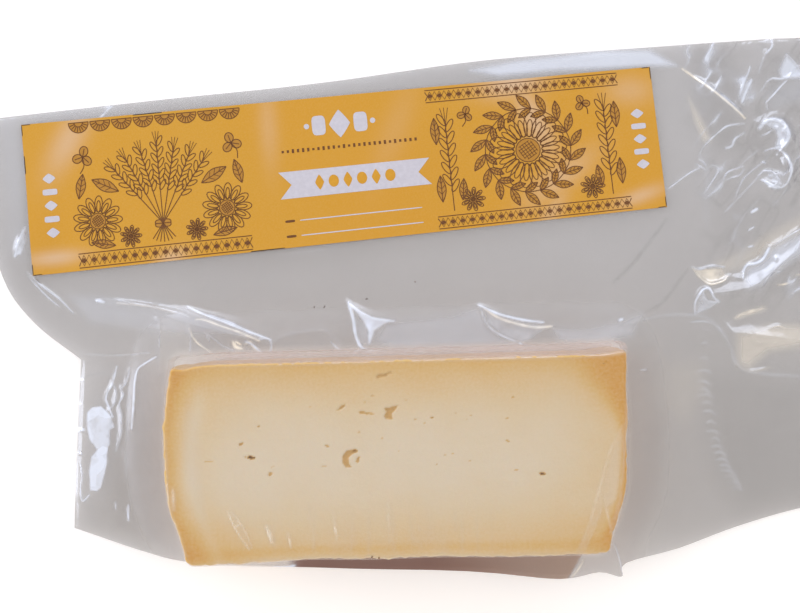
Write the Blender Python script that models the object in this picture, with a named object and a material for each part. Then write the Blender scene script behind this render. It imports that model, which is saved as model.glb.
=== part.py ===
# A cut piece of Gouda-type cheese in a clear vacuum pouch with a paper label.
# The cheese lies on its lower cut face. The pouch's flat, empty part lies behind and to the right of it.
# Plan sizes are in millimetres, x to the right and y to the back, from the middle of the whole pack.

import math

import bmesh
import bpy
import numpy as np
from mathutils.bvhtree import BVHTree

MM = 0.001

# The cheese: a thick slice through a small wheel that lies on its side, cut face up
CHEESE_CENTRE = (-11.6, -59.4)
CHEESE_TURN_DEG = 1.6
CHEESE_THICK = 50.0
WHEEL_RADIUS = 90.0
WHEEL_HALF_HEIGHT = 38.4
WHEEL_AXIS_Z = 40.0
BACK_SHOULDER = 2.0
FRONT_SHOULDER = 8.0
SHOULDER_POWER = 2.6
CORNER_RADIUS = 3.0
EDGE_RADIUS = 1.0

# The eyes that show on the cut face: place from the face's middle, length, width and turn in degrees
EYE_DEPTH = 1.6
EYES = (
    (-4.6, 18.1, 5.4, 4.4, 30.0),
    (-13.6, 18.4, 6.6, 1.9, -6.0),
    (-19.8, 1.4, 5.0, 5.0, 0.0),
    (-8.0, 31.9, 6.2, 2.0, 14.0),
    (-57.3, 1.8, 4.2, 1.8, 4.0),
    (54.0, -7.6, 3.0, 2.0, -10.0),
)

# The pouch's outline from above, side by side, anticlockwise from the front left of the cheese
FRONT_EDGE = ((-95.0, -103.4), (-51.3, -105.6), (17.4, -107.2), (53.7, -110.5), (69.9, -108.0),
              (78.0, -109.7), (80.8, -104.0))
RIGHT_EDGE = ((80.8, -104.0), (103.2, -98.8), (127.6, -90.2), (151.7, -83.3), (178.4, -78.0), (178.4, 110.5))
BACK_EDGE = ((178.4, 110.5), (140.8, 109.2), (87.5, 105.6), (21.9, 100.3), (-43.7, 91.2), (-109.3, 84.3),
             (-178.4, 76.5), (-178.4, 34.0), (-172.6, 9.5), (-160.0, -7.5), (-140.9, -22.1))
LEFT_EDGE = ((-140.9, -22.1), (-142.5, -90.5), (-116.2, -99.4), (-95.0, -103.4))

# The film
FILM_HALF = 0.4
FLOOR_THICK = 0.5
POCKET_GAP = 0.35
WALL_THICK = 0.8
FLAP_AT_WALL = 16.0
FLAP_ON_TABLE = 0.5
DROOP_LENGTH = 30.0
DROOP_POWER = 1.5

# The film rounds the corner between the cheese's wall and the flap: how far out and how far up and down
CORNER_OUT = 2.5
CORNER_UP = 3.5
CORNER_DOWN = 1.0
WALL_FOOT = 5.0
WALL_FREE = 28.0

# The main folds of the flaps: a path, the ridge's height and its half width
FOLDS = (
    (((108.0, 91.6), (130.5, 75.7)), 5.0, 13.0),
    (((140.8, 105.0), (130.5, 75.7)), 5.0, 10.0),
    (((130.5, 75.7), (147.0, 70.0), (149.0, 56.0), (135.0, 44.0)), 5.0, 8.0),
    (((108.0, 4.0), (130.5, 7.0), (141.0, 14.0), (160.0, 30.0)), 5.5, 9.0),
    (((104.0, -10.0), (135.0, -12.0), (165.0, -16.0)), 4.0, 9.0),
    (((-108.0, -4.0), (-62.0, -15.5)), 3.5, 7.0),
    (((-137.0, -32.0), (-136.0, -80.0)), 3.0, 8.0),
)

FOLD_END = 0.12
FOLD_POWER = 1.4

# The label's corners from above: front left, front right, back right, back left
LABEL_CORNERS = ((-160.6, 12.1), (98.6, 40.4), (91.6, 97.8), (-165.9, 74.0))
LABEL_THICK = 0.4
LABEL_GAP = 0.35
LABEL_CELLS = (30, 7)

# Mesh density
STATIONS = {"front": 20, "right": 24, "back": 38, "left": 14}
FLAP_RINGS = 8
FIRST_RING = 9.0
RING_SPREAD = 1.25
CHEESE_LEVELS = (12.0, 22.0, 32.0, 40.0)


def clear_scene():
    for obj in list(bpy.data.objects):
        bpy.data.objects.remove(obj, do_unlink=True)


def material(name, colour, roughness, alpha=1.0):
    made = bpy.data.materials.new(name)
    made.use_nodes = True
    shader = made.node_tree.nodes["Principled BSDF"]
    shader.inputs["Base Color"].default_value = (*colour, 1.0)
    shader.inputs["Roughness"].default_value = roughness
    shader.inputs["Metallic"].default_value = 0.0
    shader.inputs["Alpha"].default_value = alpha
    return made


def add_object(name, points_mm, faces, finish):
    mesh = bpy.data.meshes.new(name)
    mesh.from_pydata([tuple(MM * c for c in p) for p in points_mm], [], faces)
    mesh.materials.append(finish)
    mesh.validate()
    obj = bpy.data.objects.new(name, mesh)
    bpy.context.scene.collection.objects.link(obj)
    face_outwards(mesh)
    mesh.shade_smooth()
    mesh.set_sharp_from_angle(angle=math.radians(35))
    return obj


def face_outwards(mesh):
    shape = bmesh.new()
    shape.from_mesh(mesh)
    bmesh.ops.recalc_face_normals(shape, faces=shape.faces)
    shape.to_mesh(mesh)
    shape.free()


# The cheese's outline at any height, from which the pouch's wall follows too

def rounded_side(side, count):
    """Points of one side of a rounded rectangle, from the middle of one corner up to that of the next."""
    half = {"front": WHEEL_RADIUS, "back": WHEEL_RADIUS}.get(side, WHEEL_HALF_HEIGHT)
    reach = {"front": WHEEL_HALF_HEIGHT, "back": WHEEL_HALF_HEIGHT}.get(side, WHEEL_RADIUS)
    arc = CORNER_RADIUS * math.pi / 4
    straight = 2 * (half - CORNER_RADIUS)
    turn = {"front": 0.0, "right": 0.5, "back": 1.0, "left": 1.5}[side] * math.pi
    points = []
    for step in range(count):
        along = (2 * arc + straight) * step / count
        if along < arc:
            angle = math.pi / 4 - along / CORNER_RADIUS
            x = -half + CORNER_RADIUS - CORNER_RADIUS * math.sin(angle)
            y = -reach + CORNER_RADIUS - CORNER_RADIUS * math.cos(angle)
        elif along < arc + straight:
            x = -half + CORNER_RADIUS + along - arc
            y = -reach
        else:
            angle = (along - arc - straight) / CORNER_RADIUS
            x = half - CORNER_RADIUS + CORNER_RADIUS * math.sin(angle)
            y = -reach + CORNER_RADIUS - CORNER_RADIUS * math.cos(angle)
        points.append((x * math.cos(turn) - y * math.sin(turn), x * math.sin(turn) + y * math.cos(turn)))
    return points


def wheel_radius(y):
    """The wheel's radius across its height: fuller at the middle, with a rounder shoulder at the front."""
    share = abs(y) / WHEEL_HALF_HEIGHT
    return WHEEL_RADIUS - (BACK_SHOULDER * share ** 2 if y > 0 else FRONT_SHOULDER * share ** SHOULDER_POWER)


BASE_OUTLINE = [p for side, count in STATIONS.items() for p in rounded_side(side, count)]


def to_plan(x, y):
    turn = math.radians(CHEESE_TURN_DEG)
    return (CHEESE_CENTRE[0] + x * math.cos(turn) - y * math.sin(turn),
            CHEESE_CENTRE[1] + x * math.sin(turn) + y * math.cos(turn))


def cheese_outline(z):
    """The cheese's closed outline in plan at height z. Its ends are the wheel's round side."""
    made = []
    for x, y in BASE_OUTLINE:
        half_width = math.sqrt(wheel_radius(y) ** 2 - (z - WHEEL_AXIS_Z) ** 2)
        made.append(to_plan(x * half_width / WHEEL_RADIUS, y))
    return np.array(made)


def outward(outline):
    """Unit vectors that point out of a closed anticlockwise outline."""
    along = np.roll(outline, -1, axis=0) - np.roll(outline, 1, axis=0)
    normal = np.stack([along[:, 1], -along[:, 0]], axis=1)
    return normal / np.linalg.norm(normal, axis=1, keepdims=True)


FACE_OUTLINE = cheese_outline(CHEESE_THICK)
FACE_OUTWARD = outward(FACE_OUTLINE)


# The height of the flaps

def path_distance(point, path):
    """Distance from a point to a path, and the share of the path's length at the nearest point."""
    best, at, done = 1e9, 0.0, 0.0
    point = np.array(point)
    total = sum(math.dist(a, b) for a, b in zip(path, path[1:]))
    for a, b in zip(path, path[1:]):
        a, b = np.array(a), np.array(b)
        length = np.linalg.norm(b - a)
        share = float(np.clip(np.dot(point - a, b - a) / length ** 2, 0, 1))
        gap = float(np.linalg.norm(point - a - share * (b - a)))
        if gap < best:
            best, at = gap, (done + share * length) / total
        done += length
    return best, at


def fold_height(point):
    height = 0.0
    for path, ridge, half_width in FOLDS:
        gap, at = path_distance(point, path)
        if gap < half_width:
            taper = math.sin(math.pi * (FOLD_END + (1 - 2 * FOLD_END) * at))
            height = max(height, ridge * taper * (1 - gap / half_width) ** FOLD_POWER)
    return height


def flap_height(point, from_wall):
    """Middle of the film. A flap leaves the cheese's wall at about a third of its height and sinks to the table."""
    droop = math.exp(-(max(from_wall, 0.0) / DROOP_LENGTH) ** DROOP_POWER)
    lying = FILM_HALF + FLAP_ON_TABLE + fold_height(point)
    return lying + (FLAP_AT_WALL - lying) * droop


# The pouch's outline, one point for each station round the cheese

def spaced(path, count):
    """count points along a path, which keep its corners. The last corner is left to the next side."""
    lengths = [math.dist(a, b) for a, b in zip(path, path[1:])]
    reach = [sum(lengths[:i]) / sum(lengths) for i in range(len(path))]
    at = [i / count for i in range(count)]
    for share in reach[1:-1]:
        nearest = min(range(1, count), key=lambda i: abs(at[i] - share))
        at[nearest] = share
    xs, ys = zip(*path)
    return [(float(np.interp(a, reach, xs)), float(np.interp(a, reach, ys))) for a in at]


def pouch_outline():
    edges = {"front": FRONT_EDGE, "right": RIGHT_EDGE, "back": BACK_EDGE, "left": LEFT_EDGE}
    return [p for side, count in STATIONS.items() for p in spaced(edges[side], count)]


def section(station, edge):
    """One radial section of the pouch, from under the cheese, out along the flap and back, and down the pocket."""
    face, out = FACE_OUTLINE[station], FACE_OUTWARD[station]
    start = face + out * FIRST_RING

    def wall(z, gap):
        return (*(cheese_outline_at[z][station] + out * gap), z)

    flap = []
    for ring in range(FLAP_RINGS + 1):
        share = (ring / FLAP_RINGS) ** RING_SPREAD
        place = start + (np.array(edge) - start) * share
        flap.append((place, flap_height(place, float(np.linalg.norm(place - face)))))
    corner = face + out * CORNER_OUT
    corner_height = flap_height(corner, CORNER_OUT)
    outer_gap = POCKET_GAP + WALL_THICK
    points = [wall(0.0, outer_gap), wall(WALL_FOOT, outer_gap)]
    points.append((*corner, corner_height - FILM_HALF - CORNER_DOWN))
    points += [(*place, z - FILM_HALF) for place, z in flap]
    points += [(*place, z + FILM_HALF) for place, z in reversed(flap)]
    points.append((*corner, corner_height + CORNER_UP))
    points += [wall(WALL_FREE, outer_gap), wall(WHEEL_AXIS_Z, outer_gap)]
    points += [wall(CHEESE_THICK, outer_gap), wall(CHEESE_THICK, POCKET_GAP)]
    points += [wall(z, POCKET_GAP) for z in reversed(CHEESE_LEVELS)]
    points.append(wall(FLOOR_THICK, POCKET_GAP))
    return points


cheese_outline_at = {
    z: cheese_outline(z)
    for z in (0.0, FLOOR_THICK, WALL_FOOT, WALL_FREE, WHEEL_AXIS_Z, CHEESE_THICK, *CHEESE_LEVELS)
}


def loft(rings):
    """Faces between closed rings of points, with the first and last ring capped."""
    count = len(rings[0])
    faces = []
    for ring in range(len(rings) - 1):
        for i in range(count):
            a, b = ring * count + i, ring * count + (i + 1) % count
            faces.append((a, b, b + count, a + count))
    last = (len(rings) - 1) * count
    faces.append(tuple(reversed(range(count))))
    faces.append(tuple(range(last, last + count)))
    return [tuple(p) for ring in rings for p in ring], faces


def make_pouch(finish):
    sections = [section(i, edge) for i, edge in enumerate(pouch_outline())]
    points, faces = loft(list(zip(*sections)))
    return add_object("pouch", points, faces, finish)


def make_cheese(finish):
    lifted = FLOOR_THICK + POCKET_GAP
    top = CHEESE_THICK
    levels = [(lifted, EDGE_RADIUS), (lifted + EDGE_RADIUS, 0.0)]
    levels += [(z, 0.0) for z in CHEESE_LEVELS] + [(top - EDGE_RADIUS, 0.0), (top, EDGE_RADIUS)]
    rings = []
    for z, inset in levels:
        outline = cheese_outline(z)
        rings.append([(*p, z) for p in outline - outward(outline) * inset])
    points, faces = loft(rings)
    cheese = add_object("cheese", points, faces, finish)
    cut = cheese.modifiers.new("eyes", "BOOLEAN")
    cut.operation = "DIFFERENCE"
    cut.object = make_eye_cutters()
    return cheese


def make_eye_cutters():
    """Flattened balls, sunk into the cut face, that leave the open eyes of the cheese."""
    shape = bmesh.new()
    for x, y, length, width, turn in EYES:
        made = bmesh.ops.create_icosphere(shape, subdivisions=1, radius=1.0)["verts"]
        angle = math.radians(turn + CHEESE_TURN_DEG)
        centre = to_plan(x, y)
        for vert in made:
            px, py, pz = vert.co.x * length / 2, vert.co.y * width / 2, vert.co.z * EYE_DEPTH
            vert.co = (MM * (centre[0] + px * math.cos(angle) - py * math.sin(angle)),
                       MM * (centre[1] + px * math.sin(angle) + py * math.cos(angle)),
                       MM * (CHEESE_THICK + pz))
    mesh = bpy.data.meshes.new("eye_cutters")
    shape.to_mesh(mesh)
    shape.free()
    cutters = bpy.data.objects.new("eye_cutters", mesh)
    bpy.context.scene.collection.objects.link(cutters)
    cutters.hide_render = True
    cutters.display_type = "WIRE"
    return cutters


def make_label(pouch, finish):
    """A strip of paper that follows the flap under it."""
    tree = BVHTree.FromObject(pouch, bpy.context.evaluated_depsgraph_get())
    across, deep = LABEL_CELLS
    front_left, front_right, back_right, back_left = (np.array(c) for c in LABEL_CORNERS)
    under, over = [], []
    for row in range(deep + 1):
        for column in range(across + 1):
            u, v = column / across, row / deep
            place = (1 - v) * ((1 - u) * front_left + u * front_right) + v * ((1 - u) * back_left + u * back_right)
            hit = tree.ray_cast((MM * place[0], MM * place[1], 1.0), (0, 0, -1))[0]
            low = hit.z / MM + LABEL_GAP
            under.append((*place, low))
            over.append((*place, low + LABEL_THICK))
    wide = across + 1
    size = len(under)
    faces = []
    for row in range(deep):
        for column in range(across):
            a = row * wide + column
            faces.append((a, a + wide, a + wide + 1, a + 1))
            faces.append((size + a, size + a + 1, size + a + wide + 1, size + a + wide))
    rim = [c for c in range(wide)]
    rim += [row * wide + across for row in range(1, deep + 1)]
    rim += [deep * wide + c for c in range(across - 1, -1, -1)]
    rim += [row * wide for row in range(deep - 1, 0, -1)]
    for a, b in zip(rim, rim[1:] + rim[:1]):
        faces.append((a, b, size + b, size + a))
    return add_object("label", under + over, faces, finish)


def main():
    clear_scene()
    film = material("film", (0.78, 0.78, 0.80), 0.12, alpha=0.35)
    paste = material("cheese_paste", (0.80, 0.64, 0.38), 0.45)
    paper = material("label_paper", (0.78, 0.42, 0.07), 0.4)
    pouch = make_pouch(film)
    make_cheese(paste)
    bpy.context.view_layer.update()
    make_label(pouch, paper)


main()
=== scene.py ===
import math
import random

import bpy
import numpy as np
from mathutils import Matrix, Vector


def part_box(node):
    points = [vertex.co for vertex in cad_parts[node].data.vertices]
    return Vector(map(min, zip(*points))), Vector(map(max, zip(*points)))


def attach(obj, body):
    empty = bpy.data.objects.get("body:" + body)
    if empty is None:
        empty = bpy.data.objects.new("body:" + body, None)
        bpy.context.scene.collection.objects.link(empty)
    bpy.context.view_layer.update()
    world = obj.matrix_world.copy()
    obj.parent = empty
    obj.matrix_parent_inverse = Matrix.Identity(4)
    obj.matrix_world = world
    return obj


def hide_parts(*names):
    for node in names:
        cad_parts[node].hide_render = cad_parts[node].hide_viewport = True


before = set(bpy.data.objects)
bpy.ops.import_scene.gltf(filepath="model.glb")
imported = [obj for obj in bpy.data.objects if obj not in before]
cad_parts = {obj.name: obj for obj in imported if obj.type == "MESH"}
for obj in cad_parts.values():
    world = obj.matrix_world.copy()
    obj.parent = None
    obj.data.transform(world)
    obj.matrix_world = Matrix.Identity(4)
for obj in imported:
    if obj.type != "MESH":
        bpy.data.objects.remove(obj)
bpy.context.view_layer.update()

# A piece of cheese in a clear vacuum pouch with a paper label, seen from straight above.
# Lengths are in millimetres and colours in display values from 0 to 255, until a mesh or a node is made.
mm = 0.001
cheeseLow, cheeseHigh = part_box("cheese")

# The view: straight down on the pack. Some places below are read off the photograph, in its pixels.
view = {
    "imageSize": (800, 613),
    "place": (-10.7, -0.35),
    "height": 777.6,
    "focalPixels": 1894.5,
    "sensorWidth": 36.0,
}


def fromPhoto(px, py, height=2.0):
    # the place in plan, at that height above the table, that the camera sees at a pixel
    scale = (view["height"] - height) / view["focalPixels"]
    x = view["place"][0] + (px - view["imageSize"][0] / 2) * scale
    y = view["place"][1] + (view["imageSize"][1] / 2 - py) * scale
    return x, y


def linear(colour):
    # display colour to the renderer's linear one
    made = []
    for value in colour:
        share = value / 255
        made.append(share / 12.92 if share <= 0.04045 else ((share + 0.055) / 1.055) ** 2.4)
    return (*made, 1.0)


def smoothStep(low, high, value):
    share = np.clip((value - low) / (high - low), 0.0, 1.0)
    return share * share * (3 - 2 * share)


def softNoise(x, y, grain, seed):
    # smooth noise from -1 to 1, with one random value at each corner of a lattice of that grain
    gx, gy = np.asarray(x) / grain + 17.3 * seed, np.asarray(y) / grain - 9.1 * seed
    ix, iy = np.floor(gx), np.floor(gy)
    fx, fy = gx - ix, gy - iy
    fx, fy = fx * fx * (3 - 2 * fx), fy * fy * (3 - 2 * fy)

    def corner(a, b):
        value = np.sin((ix + a) * 127.1 + (iy + b) * 311.7 + seed * 74.7) * 43758.5453
        return 2 * (value - np.floor(value)) - 1

    low = corner(0, 0) * (1 - fx) + corner(1, 0) * fx
    high = corner(0, 1) * (1 - fx) + corner(1, 1) * fx
    return low * (1 - fy) + high * fy


def layeredNoise(x, y, grain, seed):
    # three layers of soft noise, each half as large and half as strong as the one before
    total = 0.0
    for layer in range(3):
        total = total + softNoise(x, y, grain / 2 ** layer, seed + 3 * layer) / 2 ** layer
    return total / 1.75


def distanceToPath(x, y, path):
    # distance to a path, which side of it a point is on (1 is left), and how far along it, from 0 to 1
    best = np.full(np.shape(x), 1e9)
    side, along = np.ones(np.shape(x)), np.zeros(np.shape(x))
    total = sum(math.dist(a, b) for a, b in zip(path, path[1:]))
    done = 0.0
    for (ax, ay), (bx, by) in zip(path, path[1:]):
        length = math.hypot(bx - ax, by - ay)
        ux, uy = (bx - ax) / length, (by - ay) / length
        t = np.clip((x - ax) * ux + (y - ay) * uy, 0, length)
        gap = np.hypot(x - ax - t * ux, y - ay - t * uy)
        closer = gap < best
        best = np.where(closer, gap, best)
        side = np.where(closer, np.where(ux * (y - ay) - uy * (x - ax) >= 0, 1.0, -1.0), side)
        along = np.where(closer, (done + t) / total, along)
        done += length
    return best, side, along


def shareInside(x, y, corners, softness):
    # 1 inside an outline and 0 outside it
    inside = np.zeros(np.shape(x), bool)
    for (ax, ay), (bx, by) in zip(corners, corners[1:] + corners[:1]):
        if ay != by:
            inside ^= ((ay > y) != (by > y)) & (x < (bx - ax) * (y - ay) / (by - ay) + ax)
    gap = distanceToPath(x, y, corners + corners[:1])[0]
    return smoothStep(-softness, softness, np.where(inside, gap, -gap))


def rounded(path, steps=6):
    # a smooth path through the given points
    if len(path) < 3:
        return [tuple(p) for p in path]
    points = [np.array(p, float) for p in path]
    points = [2 * points[0] - points[1]] + points + [2 * points[-1] - points[-2]]
    made = []
    for a, b, c, d in zip(points, points[1:], points[2:], points[3:]):
        for step in range(steps):
            t = step / steps
            made.append(tuple(0.5 * (2 * b + (c - a) * t + (2 * a - 5 * b + 4 * c - d) * t * t
                                     + (3 * b - a - 3 * c + d) * t ** 3)))
    made.append(tuple(points[-2]))
    return made


def meshObject(name, points, faces, material, attributes=None):
    mesh = bpy.data.meshes.new(name)
    mesh.from_pydata([tuple(mm * c for c in p) for p in points], [], faces)
    mesh.materials.append(material)
    for attributeName, values in (attributes or {}).items():
        layer = mesh.attributes.new(attributeName, "FLOAT", "POINT")
        layer.data.foreach_set("value", np.asarray(values, np.float32))
    mesh.update()
    made = bpy.data.objects.new(name, mesh)
    bpy.context.scene.collection.objects.link(made)
    mesh.shade_smooth()
    return made


def gridFaces(across, deep, start=0):
    # quads of a grid of points that runs across first, with faces up
    faces = []
    for row in range(deep - 1):
        for column in range(across - 1):
            a = start + row * across + column
            faces.append((a, a + 1, a + across + 1, a + across))
    return faces


def gridRim(across, deep):
    # the points round such a grid
    rim = list(range(across))
    rim += [row * across + across - 1 for row in range(1, deep)]
    rim += [(deep - 1) * across + column for column in range(across - 2, -1, -1)]
    return rim + [row * across for row in range(deep - 2, 0, -1)]


def spots(x, y, table, level):
    # the sum of soft round spots, each with its pixel place, reach and size
    total = np.zeros(np.shape(x))
    for (px, py), reach, size in table.values():
        sx, sy = fromPhoto(px, py, level)
        total = total + size * np.exp(-((x - sx) ** 2 + (y - sy) ** 2) / (0.5 * reach ** 2))
    return total


def inEllipse(x, y, middle, turn, halfLength, halfWidth):
    # coordinates along and across a turned ellipse, 1 on its outline
    angle = math.radians(turn)
    along = ((x - middle[0]) * math.cos(angle) + (y - middle[1]) * math.sin(angle)) / halfLength
    beside = ((y - middle[1]) * math.cos(angle) - (x - middle[0]) * math.sin(angle)) / halfWidth
    return along, beside


# Materials

def newMaterial(name, roughness, ior=1.45, specular=0.5):
    made = bpy.data.materials.new(name)
    made.use_nodes = True
    shader = made.node_tree.nodes["Principled BSDF"]
    shader.inputs["Roughness"].default_value = roughness
    shader.inputs["IOR"].default_value = ior
    shader.inputs["Specular IOR Level"].default_value = specular
    return made, made.node_tree, shader


def nodeIn(tree, kind, inputs=None, **settings):
    # a node with its inputs set, each to a value or to another node's output
    node = tree.nodes.new(kind)
    for name, value in settings.items():
        setattr(node, name, value)
    for name, value in (inputs or {}).items():
        if isinstance(value, bpy.types.NodeSocket):
            tree.links.new(value, node.inputs[name])
        else:
            node.inputs[name].default_value = value
    return node


def readAttribute(tree, name):
    return nodeIn(tree, "ShaderNodeAttribute", attribute_name=name).outputs["Fac"]


def noiseAt(tree, scale, detail=4.0, stretch=(1, 1, 1), distortion=0.0):
    # noise on the object's own coordinates, where scale counts features in a metre
    where = nodeIn(tree, "ShaderNodeTexCoord").outputs["Object"]
    mapped = nodeIn(tree, "ShaderNodeMapping", {"Vector": where, "Scale": stretch}).outputs["Vector"]
    return nodeIn(tree, "ShaderNodeTexNoise", {
        "Vector": mapped, "Scale": scale, "Detail": detail, "Distortion": distortion}).outputs["Fac"]


def remap(tree, value, low, high, newLow, newHigh):
    node = nodeIn(tree, "ShaderNodeMapRange", {
        "Value": value, "From Min": low, "From Max": high, "To Min": newLow, "To Max": newHigh})
    return node.outputs["Result"]


def calculate(tree, operation, first, second=0.0):
    return nodeIn(tree, "ShaderNodeMath", {0: first, 1: second}, operation=operation).outputs[0]


def blendColours(tree, share, first, second):
    ends = [linear(end) if isinstance(end, tuple) else end for end in (first, second)]
    return nodeIn(tree, "ShaderNodeMix", {0: share, 6: ends[0], 7: ends[1]}, data_type="RGBA").outputs[2]


def colourRamp(tree, value, stops):
    node = nodeIn(tree, "ShaderNodeValToRGB", {"Fac": value})
    ramp = node.color_ramp
    while len(ramp.elements) < len(stops):
        ramp.elements.new(0.5)
    for element, (position, colour) in zip(ramp.elements, stops):
        element.position = position
        element.color = linear(colour)
    return node.outputs["Color"]


def addBump(tree, shader, height, distance, strength=1.0):
    bump = nodeIn(tree, "ShaderNodeBump", {"Height": height, "Strength": strength, "Distance": distance})
    tree.links.new(bump.outputs["Normal"], shader.inputs["Normal"])


# The cheese: a thick slice through a small wheel that lies on its side, cut face up

cheese = {
    "centre": (-11.6, -59.4),
    "turn": 1.6,
    "wheelRadius": 90.0,
    "wheelHalfHeight": 38.4,
    "axisHeight": 40.0,
    "backShoulder": 2.0,
    "frontShoulder": 8.0,
    "shoulderPower": 2.6,
    "cornerRadius": 1.7,
    "turnDepth": 12.0,
    "gridStep": 0.5,
    "edgeRounding": {"back": 0.5, "front": 1.6, "ends": 0.7},
    "raggedness": 0.4,
    "top": cheeseHigh.z / mm,
    "base": cheeseLow.z / mm,
}

# Open eyes in the cut face. Round ones: pixel place, length, width, turn in degrees, depth, and the painted shade
# in the eye
eyes = [
    (366, 413, 5.0, 0.8, -8, 0.5, 0.5), (342, 407, 2.8, 0.9, 40, 0.6, 0.45),
    (358, 460, 0.9, 2.0, -10, 0.5, 0.45), (355, 451, 1.6, 0.7, 0, 0.6, 0.9),
    (380, 376, 4.0, 1.4, 18, 0.6, 0.5), (387, 374, 2.4, 0.8, 10, 0.5, 0.4),
    (252, 458, 3.2, 0.9, -6, 1.2, 1.0), (241, 444, 1.7, 0.9, 30, 0.6, 0.6),
    (259, 426, 1.2, 0.6, 20, 0.4, 0.5), (270, 474, 1.6, 0.9, 50, 0.5, 0.4),
    (272, 467, 1.3, 0.5, 10, 0.3, 0.3), (206, 462, 3.2, 0.3, 4, 0.2, 0.3),
    (542, 474, 1.7, 0.8, -12, 0.8, 0.95), (517, 470, 1.1, 0.4, 0, 0.2, 0.4),
    (508, 441, 1.3, 0.5, -20, 0.3, 0.5), (513, 397, 1.0, 0.7, 0, 0.3, 0.5), (507, 418, 0.9, 0.4, 0, 0.2, 0.4),
    (432, 418, 1.7, 0.7, -10, 0.5, 0.6), (425, 423, 0.9, 0.7, 30, 0.3, 0.3),
    (415, 419, 1.2, 0.6, 0, 0.3, 0.3), (327, 446, 1.5, 0.6, -20, 0.4, 0.4),
    (325, 466, 1.8, 0.5, 8, 0.2, 0.25), (372, 396, 1.4, 0.6, 0, 0.3, 0.3), (365, 402, 0.8, 0.6, 0, 0.2, 0.3),
    (406, 400, 0.8, 0.5, 0, 0.2, 0.3), (437, 464, 1.2, 0.5, 35, 0.3, 0.4), (445, 455, 0.9, 0.4, 0, 0.2, 0.3),
    (453, 454, 1.3, 0.4, -6, 0.2, 0.4), (470, 461, 0.8, 0.5, 0, 0.2, 0.3), (456, 413, 0.7, 0.5, 0, 0.2, 0.3),
    (471, 415, 0.8, 0.4, 0, 0.2, 0.3), (467, 419, 0.8, 0.4, 0, 0.2, 0.25), (382, 438, 0.9, 0.5, 0, 0.2, 0.3),
    (359, 432, 0.9, 0.6, 0, 0.2, 0.25), (399, 451, 0.8, 0.4, 0, 0.2, 0.25),
    (310, 407, 0.7, 0.5, 0, 0.2, 0.25),
]

# Shaped ones: corners in pixels, depth, and the painted shade in the eye
shapedEyes = {
    "hourglass": ([(384.5, 408), (390, 408), (394, 406.5), (397.5, 406), (395, 410), (391.5, 413.5), (392.5, 419.5),
                   (386, 418.5), (384.5, 416), (387, 412)], 0.9, 0.5),
    "ring": ([(343, 463), (343, 456), (347, 451), (353, 450), (357, 452), (352, 454), (348, 458), (349, 464),
              (351, 467), (346, 467)], 0.9, 0.5),
}

# Where the slice's corners differ from a plain slice's: pixel place, reach, how far out (minus is in)
corners = {
    "back right": ((629, 354), 9.0, 2.5),
    "right side": ((631, 456), 20.0, -1.5),
    "right side, low": ((624, 517), 15.0, -2.6),
    "front right": ((616, 542), 9.0, -1.5),
    "front, middle": ((430, 557), 32.0, -0.9),
    "front, left": ((310, 561), 30.0, -1.3),
    "front left": ((200, 567), 8.0, 0.4),
    "left side, low": ((177, 536), 11.0, -1.5),
    "left side": ((164, 440), 14.0, 0.7),
    "back left": ((176, 369), 9.0, -1.6),
}

# Places where the cut face's edge is broken: pixel place, reach, how far it goes in (minus is out)
nicks = {
    "left corner": ((172, 384), 2.2, 1.5),
    "right corner, notch": ((603, 362), 2.4, 1.5),
    "right corner, lip": ((616, 357), 5.0, 0.7),
    "back, middle": ((378, 359), 1.6, 0.4),
    "front, step": ((389, 560), 3.0, -0.5),
    "front, dent": ((372, 558), 2.4, 0.8),
    "front, chip": ((472, 556), 2.0, 0.5),
    "left, step": ((164, 428), 2.4, -0.4),
}


def wheelRadius(b):
    share = np.clip(np.abs(b) / cheese["wheelHalfHeight"], 0, 1)
    front = cheese["frontShoulder"] * share ** cheese["shoulderPower"]
    return cheese["wheelRadius"] - np.where(b > 0, cheese["backShoulder"] * share ** 2, front)


def halfWidth(b, z):
    return np.sqrt(wheelRadius(b) ** 2 - (z - cheese["axisHeight"]) ** 2)


faceHalf = float(halfWidth(np.array(0.0), cheese["top"]))


def toPlan(a, b):
    turn = math.radians(cheese["turn"])
    return (cheese["centre"][0] + a * math.cos(turn) - b * math.sin(turn),
            cheese["centre"][1] + a * math.sin(turn) + b * math.cos(turn))


def toCheese(x, y):
    turn = math.radians(cheese["turn"])
    x, y = x - cheese["centre"][0], y - cheese["centre"][1]
    return x * math.cos(turn) + y * math.sin(turn), y * math.cos(turn) - x * math.sin(turn)


def squared(a, b):
    # the cheese's own coordinates with the bulging ends made straight, so that its outline is a plain one
    return a * faceHalf / halfWidth(b, cheese["top"])


def unsquared(a, b, z=None, share=1.0):
    wide = halfWidth(b, cheese["top"] if z is None else z)
    flat = halfWidth(b, cheese["top"]) / faceHalf
    return a * (flat + (wide / faceHalf - flat) * share)


def fromCore(a, b):
    # nearest point on the outline's core, the way out from it and the distance past the outline
    radius = cheese["cornerRadius"]
    coreA, coreB = faceHalf - radius, cheese["wheelHalfHeight"] - radius
    k, l = np.clip(a, -coreA, coreA), np.clip(b, -coreB, coreB)
    da, db = a - k, b - l
    reach = np.hypot(da, db)
    safe = np.maximum(reach, 1e-9)
    return k, l, da / safe, db / safe, reach - radius


def edgeDistance(a, b):
    # how far inside the outline a point of the face lies
    radius = cheese["cornerRadius"]
    da = np.abs(a) - (faceHalf - radius)
    db = np.abs(b) - (cheese["wheelHalfHeight"] - radius)
    outside = np.hypot(np.maximum(da, 0), np.maximum(db, 0))
    return radius - outside - np.minimum(np.maximum(da, db), 0)


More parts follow.
